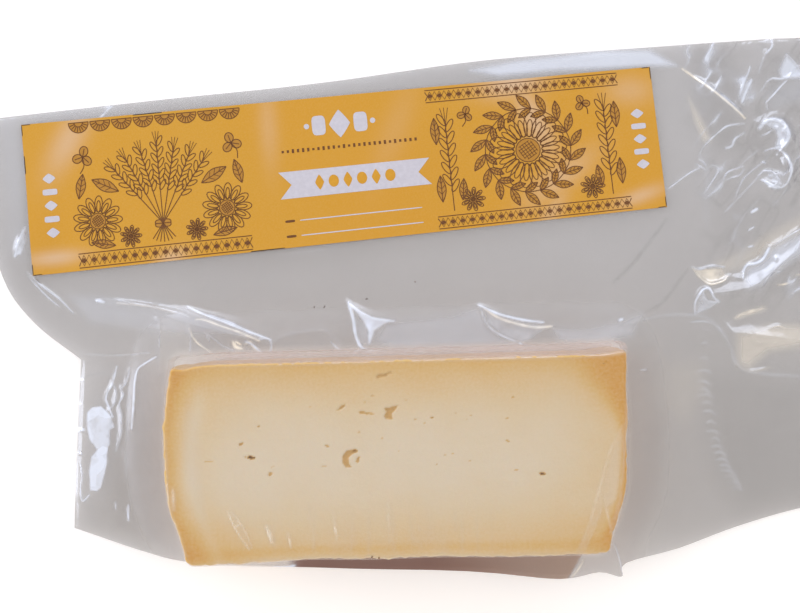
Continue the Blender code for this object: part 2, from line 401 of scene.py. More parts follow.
def wayOut(a, b):
    # the way out from a smaller core, which turns slowly round the corners, and how near the edge it is
    coreA, coreB = faceHalf - cheese["turnDepth"], cheese["wheelHalfHeight"] - cheese["turnDepth"]
    da, db = a - np.clip(a, -coreA, coreA), b - np.clip(b, -coreB, coreB)
    reach = np.hypot(da, db)
    safe = np.maximum(reach, 1e-9)
    wx, wy = toPlan(da / safe, db / safe)
    return wx - cheese["centre"][0], wy - cheese["centre"][1], smoothStep(0.5, cheese["turnDepth"] - 0.5, reach)


def cornerShift(x, y):
    return spots(x, y, corners, cheese["top"])


def pushEdge(x, y):
    # broken and uneven edge of the cut face, as a shift outwards
    rough = cheese["raggedness"] * layeredNoise(x, y, 7.0, 5) + 0.25 * softNoise(x, y, 1.6, 8)
    return rough - spots(x, y, nicks, cheese["top"])


def fade(strength, distance, reach, power=2.0):
    return strength * np.exp(-(distance / reach) ** power)


def faceTone(a, b):
    # 0 in the pale middle of the cut face, 1 at its darkest along the rind
    left, right = a + faceHalf, faceHalf - a
    back, front = cheese["wheelHalfHeight"] - b, b + cheese["wheelHalfHeight"]
    shift = 1 + 0.22 * layeredNoise(a, b, 26.0, 2)
    endWidth = 3.0 + 13.5 * smoothStep(34.0, 2.0, back) ** 1.3 + 3.0 * smoothStep(18.0, 4.0, front)
    tones = [
        fade(0.58, back * shift, 17.0, 1.7) + fade(0.16, back, 4.0, 1.5),
        fade(0.50, front * shift, 18.0),
        fade(0.34, front - 4.2, 2.0),
        fade(0.56, left * shift, 5.6, 2.4) * (1 - fade(0.6, front, 14.0)) + fade(0.24, left, 19.0, 3),
        fade(0.30, right * shift, 24.0, 1.8),
        fade(0.88, right * shift, endWidth, 2.6),
        fade(0.42, np.hypot(left, back * 0.9), 10.0, 2.6),
        fade(0.72, np.hypot(right * 0.9, back * 0.55), 12.5, 2.6),
        fade(0.66, np.hypot(left * 0.7, front * 0.9), 16.0),
        fade(0.34, np.hypot(right, front), 14.0),
    ]
    kept = 1.0
    for tone in tones:
        kept = kept * (1 - tone)
    # the pale arc inside the left end, and a painted highlight as a pale lip along three edges
    arc = fade(0.2, left - 9.5 - 4.0 * np.sin(b / 22.0) ** 2, 3.2) * smoothStep(4.0, 14.0, back)
    edgeHighlight = 0.22 * (fade(1.0, front, 1.5) + fade(0.8, back, 0.7) + fade(0.9, left, 0.8))
    return np.clip(1 - kept - arc - edgeHighlight + 0.035 * layeredNoise(a, b, 9.0, 12), 0, 1)


def makeCheese(material):
    step, half, radius = cheese["gridStep"], cheese["wheelHalfHeight"], cheese["cornerRadius"]
    deep = int(round(2 * half / step)) + 1
    across = int(round(2 * faceHalf / step)) + 1
    b = np.repeat(np.linspace(-half, half, deep)[:, None], across, axis=1)
    into = np.clip(np.abs(b) - (half - radius), 0, radius)
    rowHalf = faceHalf - radius + np.sqrt(radius ** 2 - into ** 2)
    a = np.linspace(-1, 1, across)[None, :] * rowHalf
    inside = edgeDistance(a, b)

    # plan place of each point, with the uneven edge
    na, nb = fromCore(a, b)[2:4]
    x, y = toPlan(unsquared(a, b), b)
    shift = pushEdge(x, y) * fade(1.0, np.maximum(inside, 0), 3.0)
    wayA, wayB = np.where(inside < radius, na, 0), np.where(inside < radius, nb, 0)
    edgeA = np.where(np.abs(a) / faceHalf > np.abs(b) / half, np.sign(a), 0)
    edgeB = np.where(edgeA == 0, np.sign(b), 0)
    wayA = np.where((wayA == 0) & (wayB == 0), edgeA, wayA)
    wayB = np.where((wayA == 0) & (wayB == 0), edgeB, wayB)
    wx, wy = toPlan(wayA, wayB)
    outX, outY, share = wayOut(a, b)
    broad = cornerShift(x, y) * share
    x = x + (wx - cheese["centre"][0]) * shift + outX * broad
    y = y + (wy - cheese["centre"][1]) * shift + outY * broad

    # height of the cut face: nearly flat, rounded towards the edges, with open eyes
    rounding = cheese["edgeRounding"]
    drop = np.zeros_like(a)
    gaps = {"back": half - b, "front": b + half, "ends": rowHalf - np.abs(a)}
    for side, size in rounding.items():
        near = np.clip(1 - gaps[side] / size, 0, 1)
        drop = np.maximum(drop, size * (1 - np.sqrt(np.maximum(1 - near ** 2, 0))))
    z = cheese["top"] - drop + 0.12 * layeredNoise(x, y, 30.0, 4) + 0.05 * softNoise(x, y * 5, 12.0, 9)
    pitShade = np.zeros_like(a)
    masks = []
    uneven = 1 + 0.4 * softNoise(x, y, 1.3, 31) + 0.2 * softNoise(x, y, 0.7, 37)
    for px, py, length, width, turn, depth, shadeInPit in eyes:
        middle = fromPhoto(px, py, cheese["top"])
        far = np.hypot(*inEllipse(x, y, middle, turn, length / 2, width / 2)) * uneven
        masks.append((smoothStep(1.3, 0.7, far), depth, shadeInPit))
    for places, depth, shadeInPit in shapedEyes.values():
        corner = [fromPhoto(px, py, cheese["top"]) for px, py in places]
        masks.append((shareInside(x, y, corner, 0.35), depth, shadeInPit))
    # each eye is sunk and painted darker inside, a painted shade in the hollow, with more of it at the rim
    for mask, depth, shadeInPit in masks:
        z = z - depth * mask
        pitShade = np.maximum(pitShade, mask * shadeInPit + 0.5 * mask * (1 - mask))
    tone = faceTone(a, b)

    points = list(zip(x.ravel(), y.ravel(), z.ravel()))
    faces = gridFaces(across, deep)
    tones, pitShades, rinds = list(tone.ravel()), list(pitShade.ravel()), [0.0] * len(points)

    # the sides run down from the rim of the face, and the rind shows on them
    rim = gridRim(across, deep)
    rimX, rimY, rimZ = (np.array([v.ravel()[i] for i in rim]) for v in (x, y, z))
    rimA, rimB = (np.array([v.ravel()[i] for i in rim]) for v in (a, b))
    planX, planY = toPlan(unsquared(rimA, rimB), rimB)
    outX, outY, share = wayOut(rimA, rimB)
    broadX, broadY = (way * share * cornerShift(planX, planY) for way in (outX, outY))
    na, nb = fromCore(rimA, rimB)[2:4]
    wx, wy = toPlan(na, nb)
    wx, wy = wx - cheese["centre"][0], wy - cheese["centre"][1]
    whole = cheese["top"] - cheese["base"]
    heights = np.concatenate([np.linspace(1.2, 12, 10), np.linspace(14, whole - 2.5, 16),
                              whole - np.array([1.2, 0.4, 0.0])])
    count = len(rim)
    previous = rim
    foot = 1.2
    for down in heights:
        level = cheese["top"] - down
        hereX, hereY = toPlan(unsquared(rimA, rimB, level), rimB)
        follow = math.exp(-(down / 5.0) ** 2)
        bulge = 1.1 * math.sin(math.pi * min(1.0, down / 50)) * np.clip(np.abs(nb), 0, 1)
        rough = 0.28 * layeredNoise(planX * 2 + down, planY * 2 - down * 1.3, 9.0, 14) * (1 - follow)
        tuck = foot * (1 - math.sqrt(max(0.0, 1 - max(0.0, 1 - (level - cheese["base"]) / foot) ** 2)))
        moveOut = bulge + rough - tuck
        ringX = hereX + broadX + (rimX - planX - broadX) * follow + wx * moveOut
        ringY = hereY + broadY + (rimY - planY - broadY) * follow + wy * moveOut
        ringZ = level + (rimZ - cheese["top"]) * follow
        start = len(points)
        if level < cheese["base"] + 0.05:
            ringZ = np.full(count, cheese["base"])
        points += list(zip(ringX, ringY, ringZ))
        tones += list(np.full(count, 0.3 + 0.5 * (1 - math.exp(-down / 4.0))))
        pitShades += [0.0] * count
        rinds += [float(1 - math.exp(-down / 2.0))] * count
        current = list(range(start, start + count))
        for i in range(count):
            j = (i + 1) % count
            faces.append((previous[j], previous[i], current[i], current[j]))
        previous = current
    faces.append(tuple(reversed(previous)))
    return meshObject("cheese_slice", points, faces, material, {"tone": tones, "pitShade": pitShades, "rind": rinds})


def cheeseMaterial():
    material, tree, shader = newMaterial("cheesePaste", 0.42, ior=1.42)
    tone = readAttribute(tree, "tone")
    blotch = noiseAt(tree, 45, 3)
    tone = calculate(tree, "ADD", tone, remap(tree, blotch, 0.3, 0.7, -0.035, 0.035))
    paste = colourRamp(tree, tone, [
        (0.0, (214, 200, 176)), (0.22, (213, 193, 158)), (0.45, (212, 183, 134)),
        (0.68, (209, 172, 104)), (0.86, (205, 158, 74)), (1.0, (201, 146, 50)),
    ])
    mottle = noiseAt(tree, 900, 6)
    paste = blendColours(tree, remap(tree, mottle, 0.35, 0.7, 0.0, 0.16), paste, (228, 214, 190))
    rindTone = noiseAt(tree, 160, 5)
    rind = colourRamp(tree, rindTone, [(0.25, (190, 146, 84)), (0.5, (206, 165, 100)), (0.75, (214, 180, 122))])
    paste = blendColours(tree, readAttribute(tree, "rind"), paste, rind)
    # painted shade in the eyes, deep brown in the darkest
    pitShadeColour = colourRamp(tree, readAttribute(tree, "pitShade"), [
        (0.0, (211, 185, 140)), (0.3, (207, 174, 120)), (0.6, (199, 158, 92)), (1.0, (122, 78, 30))])
    pitShadeShare = remap(tree, readAttribute(tree, "pitShade"), 0.02, 0.3, 0.0, 1.0)
    paste = blendColours(tree, pitShadeShare, paste, pitShadeColour)
    tree.links.new(paste, shader.inputs["Base Color"])
    shader.inputs["Subsurface Weight"].default_value = 0.12
    shader.inputs["Subsurface Radius"].default_value = (1.0, 0.55, 0.25)
    shader.inputs["Subsurface Scale"].default_value = 0.0025
    coarseGrain = calculate(tree, "MULTIPLY", noiseAt(tree, 260, 3), 1.5)
    grain = calculate(tree, "ADD", noiseAt(tree, 1400, 4), coarseGrain)
    addBump(tree, shader, grain, 0.00012, 0.6)
    return material


# The pouch: two sheets of clear film, drawn tight over the cheese and lying as loose flaps round it

pouch = {
    "spacing": 0.58,
    "flapAtWall": 16.0,
    "droopLength": 30.0,
    "droopPower": 1.5,
    "lying": 0.9,
    "halfGap": 0.2,
    "sealWidth": 2.5,
    "tent": {"back": 3.0, "other": 0.9},
    "pleats": 0.55,
    "waves": ((46.0, 0.55), (19.0, 0.22), (7.5, 0.07)),
    "endSeal": {"from": 7.0, "to": 13.0, "pitch": 2.0},
}

# The outline from above, from the front left corner of the left flap, in plan
outline = {
    "front": [(-143.8, -90.9), (-116.2, -99.4), (-95.0, -103.4), (-51.3, -105.6), (17.4, -107.2), (53.7, -110.5),
              (69.9, -107.6), (79.2, -109.7), (80.8, -104.0), (103.2, -98.8), (127.6, -90.2), (151.7, -83.3),
              (178.4, -78.0)],
    "right": [(178.4, -78.0), (178.4, 110.5)],
    "back": [(-178.4, 76.5), (-109.3, 84.3), (-43.7, 91.2), (21.9, 100.3), (87.5, 105.6), (140.8, 109.2),
             (178.4, 110.5)],
    "left": [(-143.8, -90.9), (-140.9, -22.1), (-160.0, -7.5), (-172.6, 9.5), (-178.4, 34.0), (-178.4, 76.5)],
}

# The upper film beside the cheese's top edge: how far out, and how high
upperSection = [(-4.0, 50.25), (-1.6, 50.2), (-0.4, 49.8), (0.25, 48.8), (0.55, 46.5), (0.75, 42.0), (0.9, 35.0),
                (1.15, 28.0), (1.6, 23.4), (2.8, 19.2), (5.2, 16.9), (9.0, 14.9)]
lowerSection = [(-5.0, 0.15), (-1.8, 0.2), (-0.4, 0.6), (0.25, 1.8), (0.5, 4.0), (0.65, 7.0), (0.95, 10.0),
                (2.0, 12.7), (4.8, 13.9), (9.0, 13.3)]

# Broad folds of the flaps, in plan: path, height, half width
broadFolds = {
    "from the back": ([(108.0, 91.6), (130.5, 75.7)], 5.0, 13.0),
    "to the back edge": ([(140.8, 105.0), (130.5, 75.7)], 5.0, 10.0),
    "hook": ([(130.5, 75.7), (147.0, 70.0), (149.0, 56.0), (135.0, 44.0)], 5.0, 8.0),
    "right, middle": ([(108.0, 4.0), (130.5, 7.0), (141.0, 14.0), (160.0, 30.0)], 5.5, 9.0),
    "right, lower": ([(104.0, -10.0), (135.0, -12.0), (165.0, -16.0)], 4.0, 9.0),
    "back left corner": ([(-108.0, -4.0), (-62.0, -15.5)], 3.5, 7.0),
    "left flap": ([(-137.0, -32.0), (-136.0, -80.0)], 0.45, 8.0),
}


def crease(white, *path, rise=0.45, flanks=(1.4, 2.0), line=0.42, field="coolHighlight", dim=0.0):
    # how white its painted highlight line is, its path in pixels, its rise, the widths of the flanks left and right
    # of it, the line's half width, the field it paints that highlight into and how much painted shade it lays round
    # it
    return {"white": white, "path": list(zip(path[::2], path[1::2])), "rise": rise, "flanks": flanks,
            "line": line, "field": field, "dim": dim}


def facet(field, strength, softness, *corners):
    # a soft painted patch, of highlight where the film mirrors a window and of shade in the dim field: its field,
    # strength and softness, and its corners in pixels
    return {"field": field, "strength": strength, "softness": softness,
            "corners": list(zip(corners[::2], corners[1::2]))}


# Creases of the loose flaps, with painted highlights and painted shade along them
creases = {
    "back right: the straight line and the ridge under it": [
        crease(1.0, 682, 69, 702, 84, 723, 101, 744, 119, rise=0.9, flanks=(1.6, 5.0), field="warmHighlight"),
        crease(0.3, 700, 80, 720, 96, 740, 113, line=1.2),
        crease(0.5, 744, 124, 728, 126, 720, 131, 712, 138, 705, 145, rise=1.0, flanks=(3.0, 2.4)),
        crease(0.12, 708, 145, 706, 159, 708, 185, 706, 222, rise=0.9, flanks=(5.0, 3.0), line=1.2),
        crease(0.6, 699, 168, 688, 174, 676, 183, 668, 189, rise=0.8),
        crease(0.45, 699, 159, 703, 162, 706, 166),
        crease(0.45, 696, 164, 701, 167, 706, 170),
    ],
    "back right corner": [
        crease(0.4, 750, 67, 746, 76, 741, 87, rise=0.9),
        crease(0.75, 750, 81, 744, 94, 741, 103, rise=0.9, line=0.6),
        crease(0.8, 771, 38, 771, 47, 765, 54, rise=1.1, flanks=(1.6, 3.0)),
        crease(0.2, 765, 54, 761, 62, 757, 74, rise=0.7),
        crease(0.7, 765, 83, 771, 79, 781, 79, 800, 75, 816, 70, rise=1.1, flanks=(2.4, 4.0)),
        crease(0.75, 765, 103, 772, 96, 780, 87, 786, 81, rise=0.9),
        crease(0.4, 765, 103, 767, 110, rise=0.5),
        crease(0.25, 757, 96, 762, 88, 766, 80),
        crease(0.5, 786, 54, 793, 61, 800, 70, 816, 88, rise=1.1, flanks=(4.0, 3.0)),
    ],
    "the two hooks": [
        crease(0.8, 759, 128, 763, 123, 771, 120, 780, 122, 785, 129, 786, 138, 782, 146, 776, 148, rise=1.6,
               flanks=(4.0, 2.6), line=0.9),
        crease(0.5, 776, 148, 770, 149, 765, 151, rise=0.8),
        crease(0.45, 761, 136, 766, 134, 770, 131, rise=0.5),
        crease(0.65, 776, 148, 784, 155, 788, 163, 789, 173, 785, 184, 778, 188, 769, 184, 761, 180, rise=1.6,
               flanks=(4.0, 2.6), line=0.55),
        crease(0.6, 759, 175, 764, 171, 772, 172, 778, 180, rise=0.8),
        crease(0.8, 764, 181, 771, 187, 780, 188, rise=0.5, line=0.6),
    ],
    "loops and slanting streaks beside the hooks": [
        crease(0.45, 744, 166, 738, 168, 728, 172, 724, 178, 723, 184, rise=0.6),
        crease(0.4, 744, 169, 740, 175, 733, 177, 726, 180, rise=0.5),
        crease(0.55, 744, 133, 735, 139, 732, 146, 726, 148, rise=0.7, line=0.6),
        crease(0.3, 763, 162, 745, 177, 739, 188, 734, 200),
        crease(0.2, 758, 150, 744, 162, 735, 172),
        crease(0.26, 761, 174, 745, 191, 725, 212),
        crease(0.14, 762, 196, 744, 216, 728, 246),
        crease(0.6, 762, 162, 766, 163),
        crease(1.0, 752, 212, 757, 209, line=0.55),
        crease(0.7, 749, 230, 754, 227),
        crease(0.6, 748, 247, 753, 246),
    ],
    "the waist right of the label": [
        crease(0.95, 743, 271, 747, 265, 756, 263, 763, 258, 769, 248, rise=1.3, flanks=(2.0, 3.4), line=0.6),
        crease(0.35, 769, 248, 784, 239, 800, 229, 816, 220, rise=1.1, flanks=(2.0, 4.0)),
        crease(0.5, 743, 271, 742, 280),
        crease(0.7, 774, 255, 775, 261, rise=0.6),
    ],
    "lens and arcs at the label's foot": [
        crease(0.5, 691, 267, 700, 269, 712, 266, 724, 267, rise=0.9),
        crease(0.7, 692, 268, 700, 278, 709, 284, 722, 281, 727, 276, rise=0.9, field="warmHighlight"),
        crease(0.7, 694, 315, 694, 302, 701, 290, 708, 289, 712, 297, 718, 302, rise=1.0, line=0.55),
        crease(0.6, 701, 291, 704, 299, 711, 302, 718, 302, rise=0.6),
        crease(0.25, 716, 292, 720, 294, 725, 293),
    ],
    "valleys": [
        crease(0.0, 642, 312, 661, 302, 687, 270, rise=0.6, flanks=(4.0, 6.0), dim=0.5),
        crease(0.3, 611, 541, 616, 556, 620, 572, rise=0.3),
        crease(0.4, 580, 556, 576, 564, 570, 573, rise=0.3, field="warmHighlight"),
        crease(0.0, 611, 283, 632, 263, 666, 220, rise=0.5, flanks=(3.0, 6.0), dim=0.6),
        crease(0.0, 742, 84, 739, 100, 734, 112, rise=0.0, dim=0.7),
        crease(0.0, 752, 124, 748, 142, 756, 156, 750, 172, rise=0.0, dim=0.8),
        crease(0.0, 748, 292, 766, 282, 790, 272, rise=0.0, dim=0.6),
        crease(0.0, 744, 262, 756, 256, 764, 244, rise=0.0, dim=0.8),
    ],
    "front right: glow and web": [
        crease(0.55, 735, 318, 742, 314, 763, 308, rise=1.0, flanks=(2.5, 4.0), line=0.8, field="warmHighlight"),
        crease(0.6, 777, 285, 785, 284, 793, 281, rise=0.7, field="warmHighlight"),
        crease(0.4, 796, 275, 806, 274, field="warmHighlight"),
        crease(0.4, 769, 328, 779, 326, 787, 330, field="warmHighlight"),
        crease(0.34, 748, 331, 757, 342, 778, 342, 797, 341, field="warmHighlight"),
        crease(0.34, 774, 345, 760, 352, 749, 355, field="warmHighlight"),
        crease(0.25, 738, 352, 739, 366, 751, 371, 770, 367, rise=0.8, field="warmHighlight"),
        crease(0.16, 622, 325, 658, 316, 689, 315, 702, 317, 711, 322, 727, 342, 738, 367, 766, 374, 816, 377,
               rise=1.1, flanks=(4.0, 2.0), line=0.8),
        crease(0.3, 690, 322, 700, 321, 711, 323),
    ],
    "round the label": [
        crease(0.7, 25, 227, 19, 242, 15, 256, rise=1.2, flanks=(3.0, 2.6), line=0.8),
        crease(0.7, 113, 105, 106, 111, 99, 119, rise=0.9, line=0.6),
        crease(0.3, 112, 106, 104, 108, 99, 107),
        crease(0.5, 27, 272, 40, 284, 60, 299, 74, 313, rise=0.9, flanks=(1.3, 3.4)),
        crease(0.4, 28, 276, 46, 295, 60, 307, rise=0.5),
        crease(0.3, 97, 301, 104, 299, 124, 301, 150, 305, rise=0.8, flanks=(2.0, 3.0)),
        crease(0.9, 97, 300, 101, 301, 105, 302, rise=0.6, line=0.7),
    ],
    "the long folds behind the cheese, left": [
        crease(0.2, 88, 306, 120, 306, 160, 316, rise=0.4),
        crease(0.16, 80, 315, 116, 315, 150, 322, 168, 326, rise=0.4),
        crease(0.12, 90, 322, 130, 326, 163, 331, rise=0.4),
        crease(1.0, 190, 307, 209, 315, 236, 325, 251, 331, 262, 335, 273, 339, rise=0.9, flanks=(1.0, 2.0)),
        crease(0.7, 212, 315, 232, 322, 250, 330, line=0.5),
        crease(0.35, 108, 303, 140, 304, 180, 312, 197, 319, rise=0.5),
        crease(0.45, 118, 303, 150, 306, 177, 312, rise=0.5, field="warmHighlight"),
        crease(0.75, 199, 319, 208, 320, 225, 326, 243, 332, 262, 340, rise=0.6, flanks=(1.0, 1.6), line=0.36,
               field="warmHighlight"),
        crease(0.6, 262, 338, 271, 338, 274, 345, 272, 353, rise=0.5),
        crease(0.4, 243, 335, 252, 336, 262, 341, field="warmHighlight"),
        crease(1.0, 236, 341, 239, 346, 245, 348, rise=0.8, line=0.6, field="warmHighlight"),
        crease(0.8, 239, 341, 244, 344, field="warmHighlight"),
        crease(0.5, 248, 344, 253, 341, 256, 346, 263, 352, field="warmHighlight"),
        crease(0.6, 248, 341, 254, 343, 260, 348, 266, 353, rise=0.5),
        crease(0.6, 193, 328, 196, 336, 203, 344, 214, 351, 218, 356, rise=0.6, line=0.36, field="warmHighlight"),
        crease(0.25, 198, 326, 214, 336, 226, 345, 238, 350, rise=0.3),
        crease(0.25, 209, 334, 214, 342),
        crease(0.5, 268, 353, 279, 352, 290, 355, rise=0.3),
    ],
    "the star": [
        crease(0.1, 270, 345, 284, 336, 306, 331, 328, 331, 343, 350, rise=0.7, flanks=(3.0, 3.0), line=0.8),
        crease(0.4, 332, 341, 342, 350, 352, 353, rise=0.5),
        crease(1.0, 349, 303, 354, 319, 357, 336, 362, 346, 371, 350, rise=1.5, flanks=(1.4, 4.5), line=0.6),
        crease(0.85, 349, 303, 360, 312, 372, 318, 382, 320, 394, 321, rise=1.3, flanks=(3.0, 3.0), line=0.6),
        crease(0.6, 374, 321, 371, 330, 370, 342, rise=0.6, flanks=(2.0, 2.0), line=0.8),
    ],
    "the crescent": [
        crease(0.0, 388, 321, 410, 320, 440, 316, 478, 305, rise=0.3, flanks=(7.0, 8.0)),
        crease(0.95, 478, 305, 498, 314, 522, 320, 541, 322, rise=1.2, flanks=(1.5, 2.0), line=0.5),
        crease(0.85, 484, 309, 498, 318, 517, 324, 534, 327, 549, 326, rise=1.0, flanks=(1.5, 3.0), line=0.5,
               field="warmHighlight"),
        crease(0.4, 479, 307, 486, 324, 498, 334, 519, 343, rise=0.8, flanks=(1.5, 2.2)),
        crease(0.9, 517, 342, 520, 345, rise=0.4, line=0.6),
        crease(0.0, 548, 326, 583, 326, 617, 320, 640, 312, rise=0.3, flanks=(6.0, 8.0)),
        crease(0.8, 616, 320, 620, 319, line=0.6),
    ],
    "left flap": [
        crease(0.75, 119, 366, 115, 382, 110, 391, 108, 398, 111, 406, 115, 416, rise=0.4),
        crease(0.35, 115, 383, 119, 392, 117, 402, 111, 410),
        crease(0.7, 160, 356, 148, 363, 141, 369, 138, 382, 137, 403, 135, 427, rise=0.5, flanks=(1.4, 2.4)),
        crease(0.4, 133, 367, 129, 382, 124, 388, 126, 394, 122, 403, 124, 414, 124, 432, 119, 449, rise=0.3),
        crease(0.7, 131, 503, 131, 519, rise=0.25),
        crease(0.35, 118, 501, 118, 508, rise=0.15),
        crease(0.18, 85, 354, 118, 355, 154, 352, rise=0.4, flanks=(1.5, 3.0)),
        crease(0.1, 82, 377, 104, 373, 128, 374, rise=0.3),
        crease(0.22, 194, 322, 194, 356, 192, 366, rise=0.4, flanks=(1.8, 2.6)),
        crease(0.16, 163, 318, 163, 350, 164, 375, rise=0.4),
        crease(0.6, 82, 464, 84, 476, 82, 489, 84, 500, 91, 494, rise=0.7),
    ],
    "left edge": [
        crease(0.8, 80, 379, 84, 379),
        crease(0.4, 80, 403, 83, 403),
        crease(0.9, 80, 429, 85, 429, line=0.6),
        crease(0.7, 80, 452, 83, 453),
    ],
    "beside and in front of the cheese": [
        crease(0.35, 637, 369, 643, 369),
        crease(0.9, 276, 563, 286, 563, 296, 561, rise=0.5, line=0.7),
        crease(0.6, 282, 566, 290, 567, 299, 564, rise=0.4),
    ],
}

# Patches of light and shade on the loose flaps
facets = {
    "left flap": [
        facet("coolHighlight", 0.55, 0.5, 89, 412, 94, 407, 103, 406, 110, 411, 114, 417, 117, 426, 112, 429, 112, 444,
              107, 448, 98, 448, 93, 440, 89, 430, 88, 420),
        facet("coolHighlight", 1.0, 0.5, 89, 412, 94, 407, 103, 406, 109, 411, 114, 417, 107, 418, 100, 415, 94, 419,
              89, 421),
        facet("coolHighlight", 0.9, 0.5, 89, 424, 92, 427, 96, 436, 94, 443, 91, 437),
        facet("coolHighlight", 1.0, 0.5, 100, 448, 104, 445, 110, 446, 109, 452, 101, 456, 97, 455),
        facet("coolHighlight", 0.62, 0.5, 93, 456, 99, 449, 109, 447, 109, 462, 106, 475, 103, 486, 99, 490, 92, 489,
              91, 470),
        facet("coolHighlight", 1.0, 0.5, 93, 456, 104, 454, 108, 460, 105, 469, 99, 474, 98, 486, 92, 486, 92, 468),
    ],
    "behind the cheese": [
        facet("coolHighlight", 0.7, 0.9, 350, 304, 360, 311, 372, 317, 392, 320, 384, 324, 375, 330, 371, 342, 369, 330,
              364, 321),
        facet("coolHighlight", 0.16, 1.0, 352, 310, 368, 324, 370, 345, 362, 344, 357, 334),
        facet("coolHighlight", 0.16, 3.0, 384, 322, 450, 315, 478, 307, 486, 324, 500, 336, 517, 344, 440, 347, 392, 349,
              374, 341),
        facet("coolHighlight", 0.2, 1.2, 482, 309, 500, 317, 520, 323, 545, 326, 530, 338, 518, 342, 498, 333, 486, 322),
        facet("coolHighlight", 0.18, 3.0, 549, 328, 583, 328, 617, 322, 640, 314, 628, 335, 585, 344, 556, 340),
    ],
    "above the label": [
        facet("coolHighlight", 0.5, 2.2, 470, 70, 520, 61, 600, 51, 650, 50, 676, 65, 650, 66, 560, 70, 500, 75),
        facet("coolHighlight", 0.4, 1.6, 560, 62, 610, 54, 655, 52, 674, 64, 620, 66),
    ],
    "right end, back": [
        facet("coolHighlight", 0.5, 1.0, 764, 124, 772, 121, 780, 123, 785, 130, 785, 139, 781, 146, 775, 146, 777, 138,
              774, 131, 767, 128),
        facet("coolHighlight", 0.35, 0.7, 771, 173, 778, 180, 783, 185, 776, 187, 770, 183),
        facet("coolHighlight", 0.45, 1.6, 786, 55, 793, 61, 800, 70, 816, 84, 816, 90, 800, 79, 781, 79, 779, 70),
        facet("coolHighlight", 0.12, 3.0, 766, 92, 781, 82, 816, 76, 816, 96, 790, 104, 770, 112),
        facet("coolHighlight", 0.3, 1.2, 742, 84, 749, 80, 750, 92, 743, 106, 739, 100),
    ],
    "right end, middle": [
        facet("coolHighlight", 0.28, 2.5, 744, 272, 748, 266, 757, 264, 765, 258, 771, 249, 816, 224, 816, 246, 790, 262,
              776, 272, 760, 286, 745, 290),
        facet("warmHighlight", 0.2, 3.0, 716, 262, 742, 252, 770, 232, 816, 208, 816, 226, 772, 250, 744, 268, 722, 274),
        facet("warmHighlight", 0.1, 6.0, 664, 366, 700, 362, 704, 392, 684, 420, 664, 404),
        facet("warmHighlight", 0.5, 0.8, 695, 270, 722, 268, 727, 276, 721, 280, 708, 283, 700, 278),
        facet("coolHighlight", 0.35, 0.8, 695, 314, 696, 302, 701, 292, 706, 300, 717, 303, 708, 309),
        facet("warmHighlight", 0.35, 1.2, 735, 318, 742, 313, 764, 306, 768, 309, 750, 315, 738, 319),
        facet("warmHighlight", 0.3, 3.0, 736, 334, 770, 325, 816, 325, 816, 344, 768, 352, 748, 368, 738, 364),
    ],
    "left and behind": [
        facet("warmHighlight", 0.24, 1.6, 688, 98, 697, 112, 706, 128, 711, 141, 703, 141, 695, 122),
        facet("coolHighlight", 0.6, 0.8, 25, 228, 20, 241, 16, 255, 21, 254, 26, 240),
        facet("coolHighlight", 0.15, 3.0, 70, 296, 150, 300, 230, 322, 265, 338, 215, 336, 150, 330, 90, 322),
        facet("warmHighlight", 0.08, 1.0, 163, 318, 194, 322, 193, 362, 164, 372),
    ],
    "shades": [
        facet("dim", 0.6, 7.0, 124, 376, 146, 372, 160, 420, 162, 500, 178, 550, 150, 548, 112, 530, 112, 440),
        facet("dim", 0.3, 6.0, 84, 500, 112, 500, 150, 540, 168, 560, 84, 530),
        facet("dim", 0.45, 9.0, 700, 380, 730, 372, 816, 376, 816, 500, 740, 512, 716, 470),
        facet("dim", 0.2, 6.0, 640, 430, 662, 410, 664, 450, 640, 520, 630, 560, 628, 520),
        facet("dim", 0.5, 6.0, 690, 50, 728, 44, 740, 100, 742, 150, 716, 150, 696, 90),
        facet("dim", 0.24, 6.0, 716, 176, 770, 196, 800, 208, 760, 244, 716, 250),
    ],
    "behind the label": [
        facet("coolHighlight", 0.1, 4.0, 0, 118, 120, 102, 120, 112, 24, 124, 28, 262, 10, 250),
    ],
}

